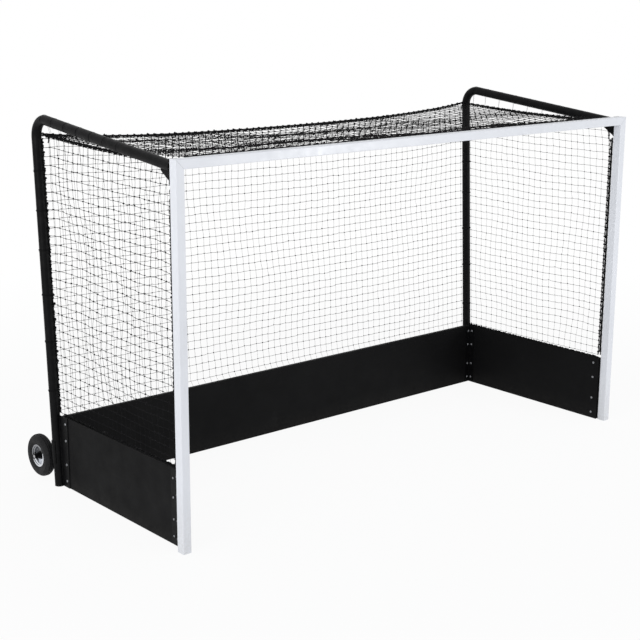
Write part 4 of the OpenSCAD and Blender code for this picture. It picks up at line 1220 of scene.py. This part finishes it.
class GOAL_OT_ties(GoalOperator, bpy.types.Operator):
    """Cords round the arms, lace round the legs, and the knots that end the head ropes"""

    bl_idname = "goal.ties"
    bl_label = "Ties and knots"

    def execute(self, context):
        rng = np.random.default_rng(60)
        lace = context.scene.goal_rope.lace
        parts = Parts()
        for sign in SIDES.values():
            self.arm_ties(parts, sign, lace * THIN_CORD_SHARE)
            self.leg_wraps(parts, sign, lace, rng)
            self.end_knots(parts, sign, context.scene.goal_rope.head)
        parts.build("ties_and_knots", rope_finish())
        return {"FINISHED"}

    def arm_centre(self, y):
        """The middle of the right arm at distance y along the goal's depth."""
        return np.array([TUBE_X, y, post_high.z - ARM_BELOW_TOP + (y - post_high.y) * ARM_RISE])

    def arm_ties(self, parts, sign, lace):
        """Thin cords from the side rope up round the arm."""
        rope = smooth_route(SIDE_ROPE_POINTS, ROUTE_STEP)
        for y in ARM_TIE_PLACES:
            hung = rope[np.argmin(np.abs(rope[:, 1] - y))]
            centre = self.arm_centre(y + 0.015)
            reach = TUBE_RADIUS + lace / 2
            turn = np.linspace(math.radians(215), math.radians(-125), 24)
            loop = [centre + reach * np.array([math.cos(t), 0.0, math.sin(t)]) for t in turn]
            up = [hung + (0.0, 0.0, 0.004), (hung * 2 + loop[0]) / 3]
            down = [(hung * 2 + loop[-1]) / 3 + (0.004, 0.004, 0), hung + (0.0, 0.006, 0.004)]
            points = np.vstack([*up, loop, *down])
            parts.add(*tube(smooth_route(points * (sign, 1, 1), 0.006), lace / 2, 6))

    def leg_wraps(self, parts, sign, lace, rng):
        """Double turns of lace round the leg."""
        for z in LEG_WRAP_HEIGHTS:
            for turn in (-0.6, 0.6):
                centre = (sign * TUBE_X, leg_y(z), z + turn * lace * 1.4)
                axis = (0.0, TAN_LEAN, 1.0)
                loop = ring_path(centre, axis, TUBE_RADIUS + lace * 0.5, 28, rng.uniform(-1, 1) * lace)
                parts.add(*closed_tube(loop, lace * 0.6, 6))
            add_lumps(parts, leg_edge(z, TUBE_RADIUS + 0.008) * np.array([sign, 1, 1]), 0.009, rng)

    def end_knots(self, parts, sign, diameter):
        """A knot and a short tail at each end of a head rope."""
        t = np.linspace(0, 2 * math.pi, 40, endpoint=False)
        trefoil = np.stack([np.sin(t) + 2 * np.sin(2 * t), 1.2 * np.sin(3 * t),
                            np.cos(t) - 2 * np.cos(2 * t)], -1) * diameter * 0.26
        tail = np.array([(0, 0, 0), (-0.012, 0.004, -0.012), (-0.018, 0.006, -0.030),
                         (-0.016, 0.010, -0.048)])
        rear = np.array(SIDE_ROPE_POINTS[-1]) + (-0.012, -0.018, -0.004)
        front = np.array(SIDE_ROPE_POINTS[0]) + (-0.004, 0.020, 0.002)
        for place in (rear, front):
            knot = (place + trefoil) * (sign, 1, 1)
            parts.add(*closed_tube(knot, diameter * 0.36, 8))
            hung = (place + tail) * (sign, 1, 1)
            parts.add(*laid_rope(smooth_route(hung, 0.003), diameter * 0.6, 9))


# how bright the filler in the corner joints is, as a share of the paint beside it
FILLER_SHARE = 0.62


class GOAL_OT_frame_finish(GoalOperator, bpy.types.Operator):
    """White coat of the posts, crossbar and foot caps, and the joiners inside"""

    bl_idname = "goal.frame_finish"
    bl_label = "Frame"

    def execute(self, context):
        colours = context.scene.goal_colour
        give_finish(both("post") + ["crossbar"], frame_paint(colours.frame_paint))
        give_finish(["post_foot_caps"], moulded_plastic("white_cap", colours.frame_paint))
        aluminium = metal("mill_aluminium", (0.55, 0.56, 0.58), (0.3, 0.5), (1, 1, 8))
        give_finish(both("corner_joiner"), aluminium)
        joints = Parts()
        for sign in SIDES.values():
            self.mitre_joint(joints, sign)
        filler = frame_paint(tuple(FILLER_SHARE * c for c in colours.frame_paint), "filled_joint")
        joints.build("mitre_joints", filler)
        return {"FINISHED"}

    def mitre_joint(self, parts, sign):
        """The filled joint line on both faces of a corner, a little proud of them."""
        edge = 0.0035
        inner_x, inner_z = sign * post_low.x + sign * edge, bar_low.z + edge
        outer_x, outer_z = sign * post_high.x - sign * edge, bar_high.z - edge
        for y in (post_low.y, post_high.y):
            path = even_route([(inner_x, y, inner_z), (outer_x, y, outer_z)], 0.002)
            parts.add(*tube(path, 0.0007, 6))


class GOAL_OT_tube_finish(GoalOperator, bpy.types.Operator):
    """Black coat of the rear tubes and of what is welded or bolted to them"""

    bl_idname = "goal.tube_finish"
    bl_label = "Tubes and brackets"

    def execute(self, context):
        coated = both("side_tube", "top_bracket", "front_angle", "leg_plate", "wheel_bracket",
                      "corner_angle", "post_net_rod")
        give_finish(coated + ["crossbar_net_rod", "rope_eyes", "net_cleats"], coat_finish())
        give_finish(["leg_foot_caps"], moulded_plastic("black_cap", (0.012, 0.012, 0.013)))
        welds = Parts()
        for sign in SIDES.values():
            self.bead(welds, self.arm_ring(), sign)
            self.bead(welds, self.plate_line(), sign)
        welds.build("weld_beads", coat_finish())
        return {"FINISHED"}

    def bead(self, parts, points, sign):
        """A weld with the small steps of its passes."""
        path = even_route(mirror_path(points, sign), 0.0012)
        steps = np.abs(np.sin(distances(path) / 0.0035 * math.pi))[:, None]
        parts.add(*tube(path, 0.0024 + 0.0010 * steps, 8))

    def arm_ring(self):
        """Where the arm meets the bracket's flange."""
        flange = post_high.y + 0.0062
        centre = (TUBE_X, flange, post_high.z - ARM_BELOW_TOP + 0.0006)
        ring = ring_path(centre, (0, 1, 0), TUBE_RADIUS + 0.0008, 72)
        return [tuple(p) for p in np.vstack([ring, ring[:1]])]

    def plate_line(self):
        """Where the leg plate meets the leg on the outside."""
        ahead = math.sqrt(TUBE_RADIUS ** 2 - (TUBE_X - plate_high.x) ** 2)
        return [(plate_high.x + 0.0008, leg_y(z) - ahead - 0.0012, z)
                for z in (0.02, board_high.z - 0.01)]


# the strip at a side board's front end, and its screws as shares of the board's height
STRIP_WIDTH = 0.102
STRIP_THICKNESS = 0.0018
STRIP_SCREW_BACK = 0.081
STRIP_SCREW_SHARES = (0.115, 0.335, 0.62, 0.87)


class GOAL_OT_boards(GoalOperator, bpy.types.Operator):
    """Finish of the boards, and the narrow screwed strips at their front ends"""

    bl_idname = "goal.boards"
    bl_label = "Boards"

    def execute(self, context):
        give_finish(both("side_board") + ["back_board"], board_plastic(context.scene.goal_colour.board))
        strips = Parts()
        screws = Parts()
        strip_end = board_low.y + STRIP_WIDTH
        face = board_high.x + STRIP_THICKNESS
        for sign in SIDES.values():
            ends = sorted((sign * board_high.x, sign * face))
            strips.add(*bevelled_box((ends[0], board_low.y + 0.001, board_low.z + 0.001),
                                     (ends[1], strip_end, board_high.z - 0.001), 0.0006))
            for share in STRIP_SCREW_SHARES:
                z = board_low.z + share * (board_high.z - board_low.z)
                place = (sign * face, board_low.y + STRIP_SCREW_BACK, z)
                screws.add(*screw_head(place, sign, 0.0065, 0.003))
        strips.build("board_end_strips", coat_finish(), smooth=False)
        screws.build("strip_screws", zinc_finish())
        return {"FINISHED"}


class GOAL_OT_fixings(GoalOperator, bpy.types.Operator):
    """Plating of the bolts, screws and washers"""

    bl_idname = "goal.fixings"
    bl_label = "Bolts and screws"

    def execute(self, context):
        give_finish(["corner_screws", "bracket_bolts", "front_angle_screws", "front_board_bolts",
                     "corner_bolts", "back_board_bolts"], zinc_finish())
        return {"FINISHED"}


class GOAL_OT_wheels(GoalOperator, bpy.types.Operator):
    """Finish of the tyres, rims, hubs, bearings and axles"""

    bl_idname = "goal.wheels"
    bl_label = "Wheels"

    def execute(self, context):
        colours = context.scene.goal_colour
        give_finish(both("tyre"), tyre_rubber(colours.rubber))
        for side in SIDES:
            # the rims' colour holds a painted reflection: bright low, dark between, dim high
            plate = rim_with_painted_reflection(f"{side}_painted_reflection_rim", colours.chrome, f"{side}_rim_outer")
            give_finish([f"{side}_rim_outer", f"{side}_rim_inner"], plate)
        give_finish(both("hub") + ["axle_nuts"], coat_finish())
        steel = metal("turned_steel", (0.50, 0.50, 0.52), (0.25, 0.45), (6, 1, 1))
        give_finish(both("axle", "bearings", "rim_bolts") + ["axle_spacers"], steel)
        return {"FINISHED"}


OPERATORS = (
    GOAL_OT_stage, GOAL_OT_head_ropes, GOAL_OT_border_ropes, GOAL_OT_side_nets, GOAL_OT_back_net,
    GOAL_OT_top_net, GOAL_OT_lacing, GOAL_OT_ties, GOAL_OT_frame_finish, GOAL_OT_tube_finish,
    GOAL_OT_boards, GOAL_OT_fixings, GOAL_OT_wheels,
)


class GOAL_PT_panel(bpy.types.Panel):
    """Lists the goal's settings and pieces"""

    bl_label = "Field hockey goal"
    bl_idname = "GOAL_PT_panel"
    bl_space_type = "VIEW_3D"
    bl_region_type = "UI"
    bl_category = "Goal"

    def draw(self, context):
        for name, group in SETTINGS.items():
            box = self.layout.box()
            for key in group.__annotations__:
                box.prop(getattr(context.scene, name), key)
        for operator in OPERATORS:
            self.layout.operator(operator.bl_idname)


def register():
    for made in (*SETTINGS.values(), *OPERATORS, GOAL_PT_panel):
        bpy.utils.register_class(made)
    for name, group in SETTINGS.items():
        setattr(bpy.types.Scene, name, bpy.props.PointerProperty(type=group))


def unregister():
    for name in SETTINGS:
        delattr(bpy.types.Scene, name)
    for made in (GOAL_PT_panel, *reversed(OPERATORS), *reversed(SETTINGS.values())):
        bpy.utils.unregister_class(made)


def main():
    register()
    for operator in OPERATORS:
        group, name = operator.bl_idname.split(".")
        getattr(getattr(bpy.ops, group), name)()


if __name__ == "__main__":
    main()
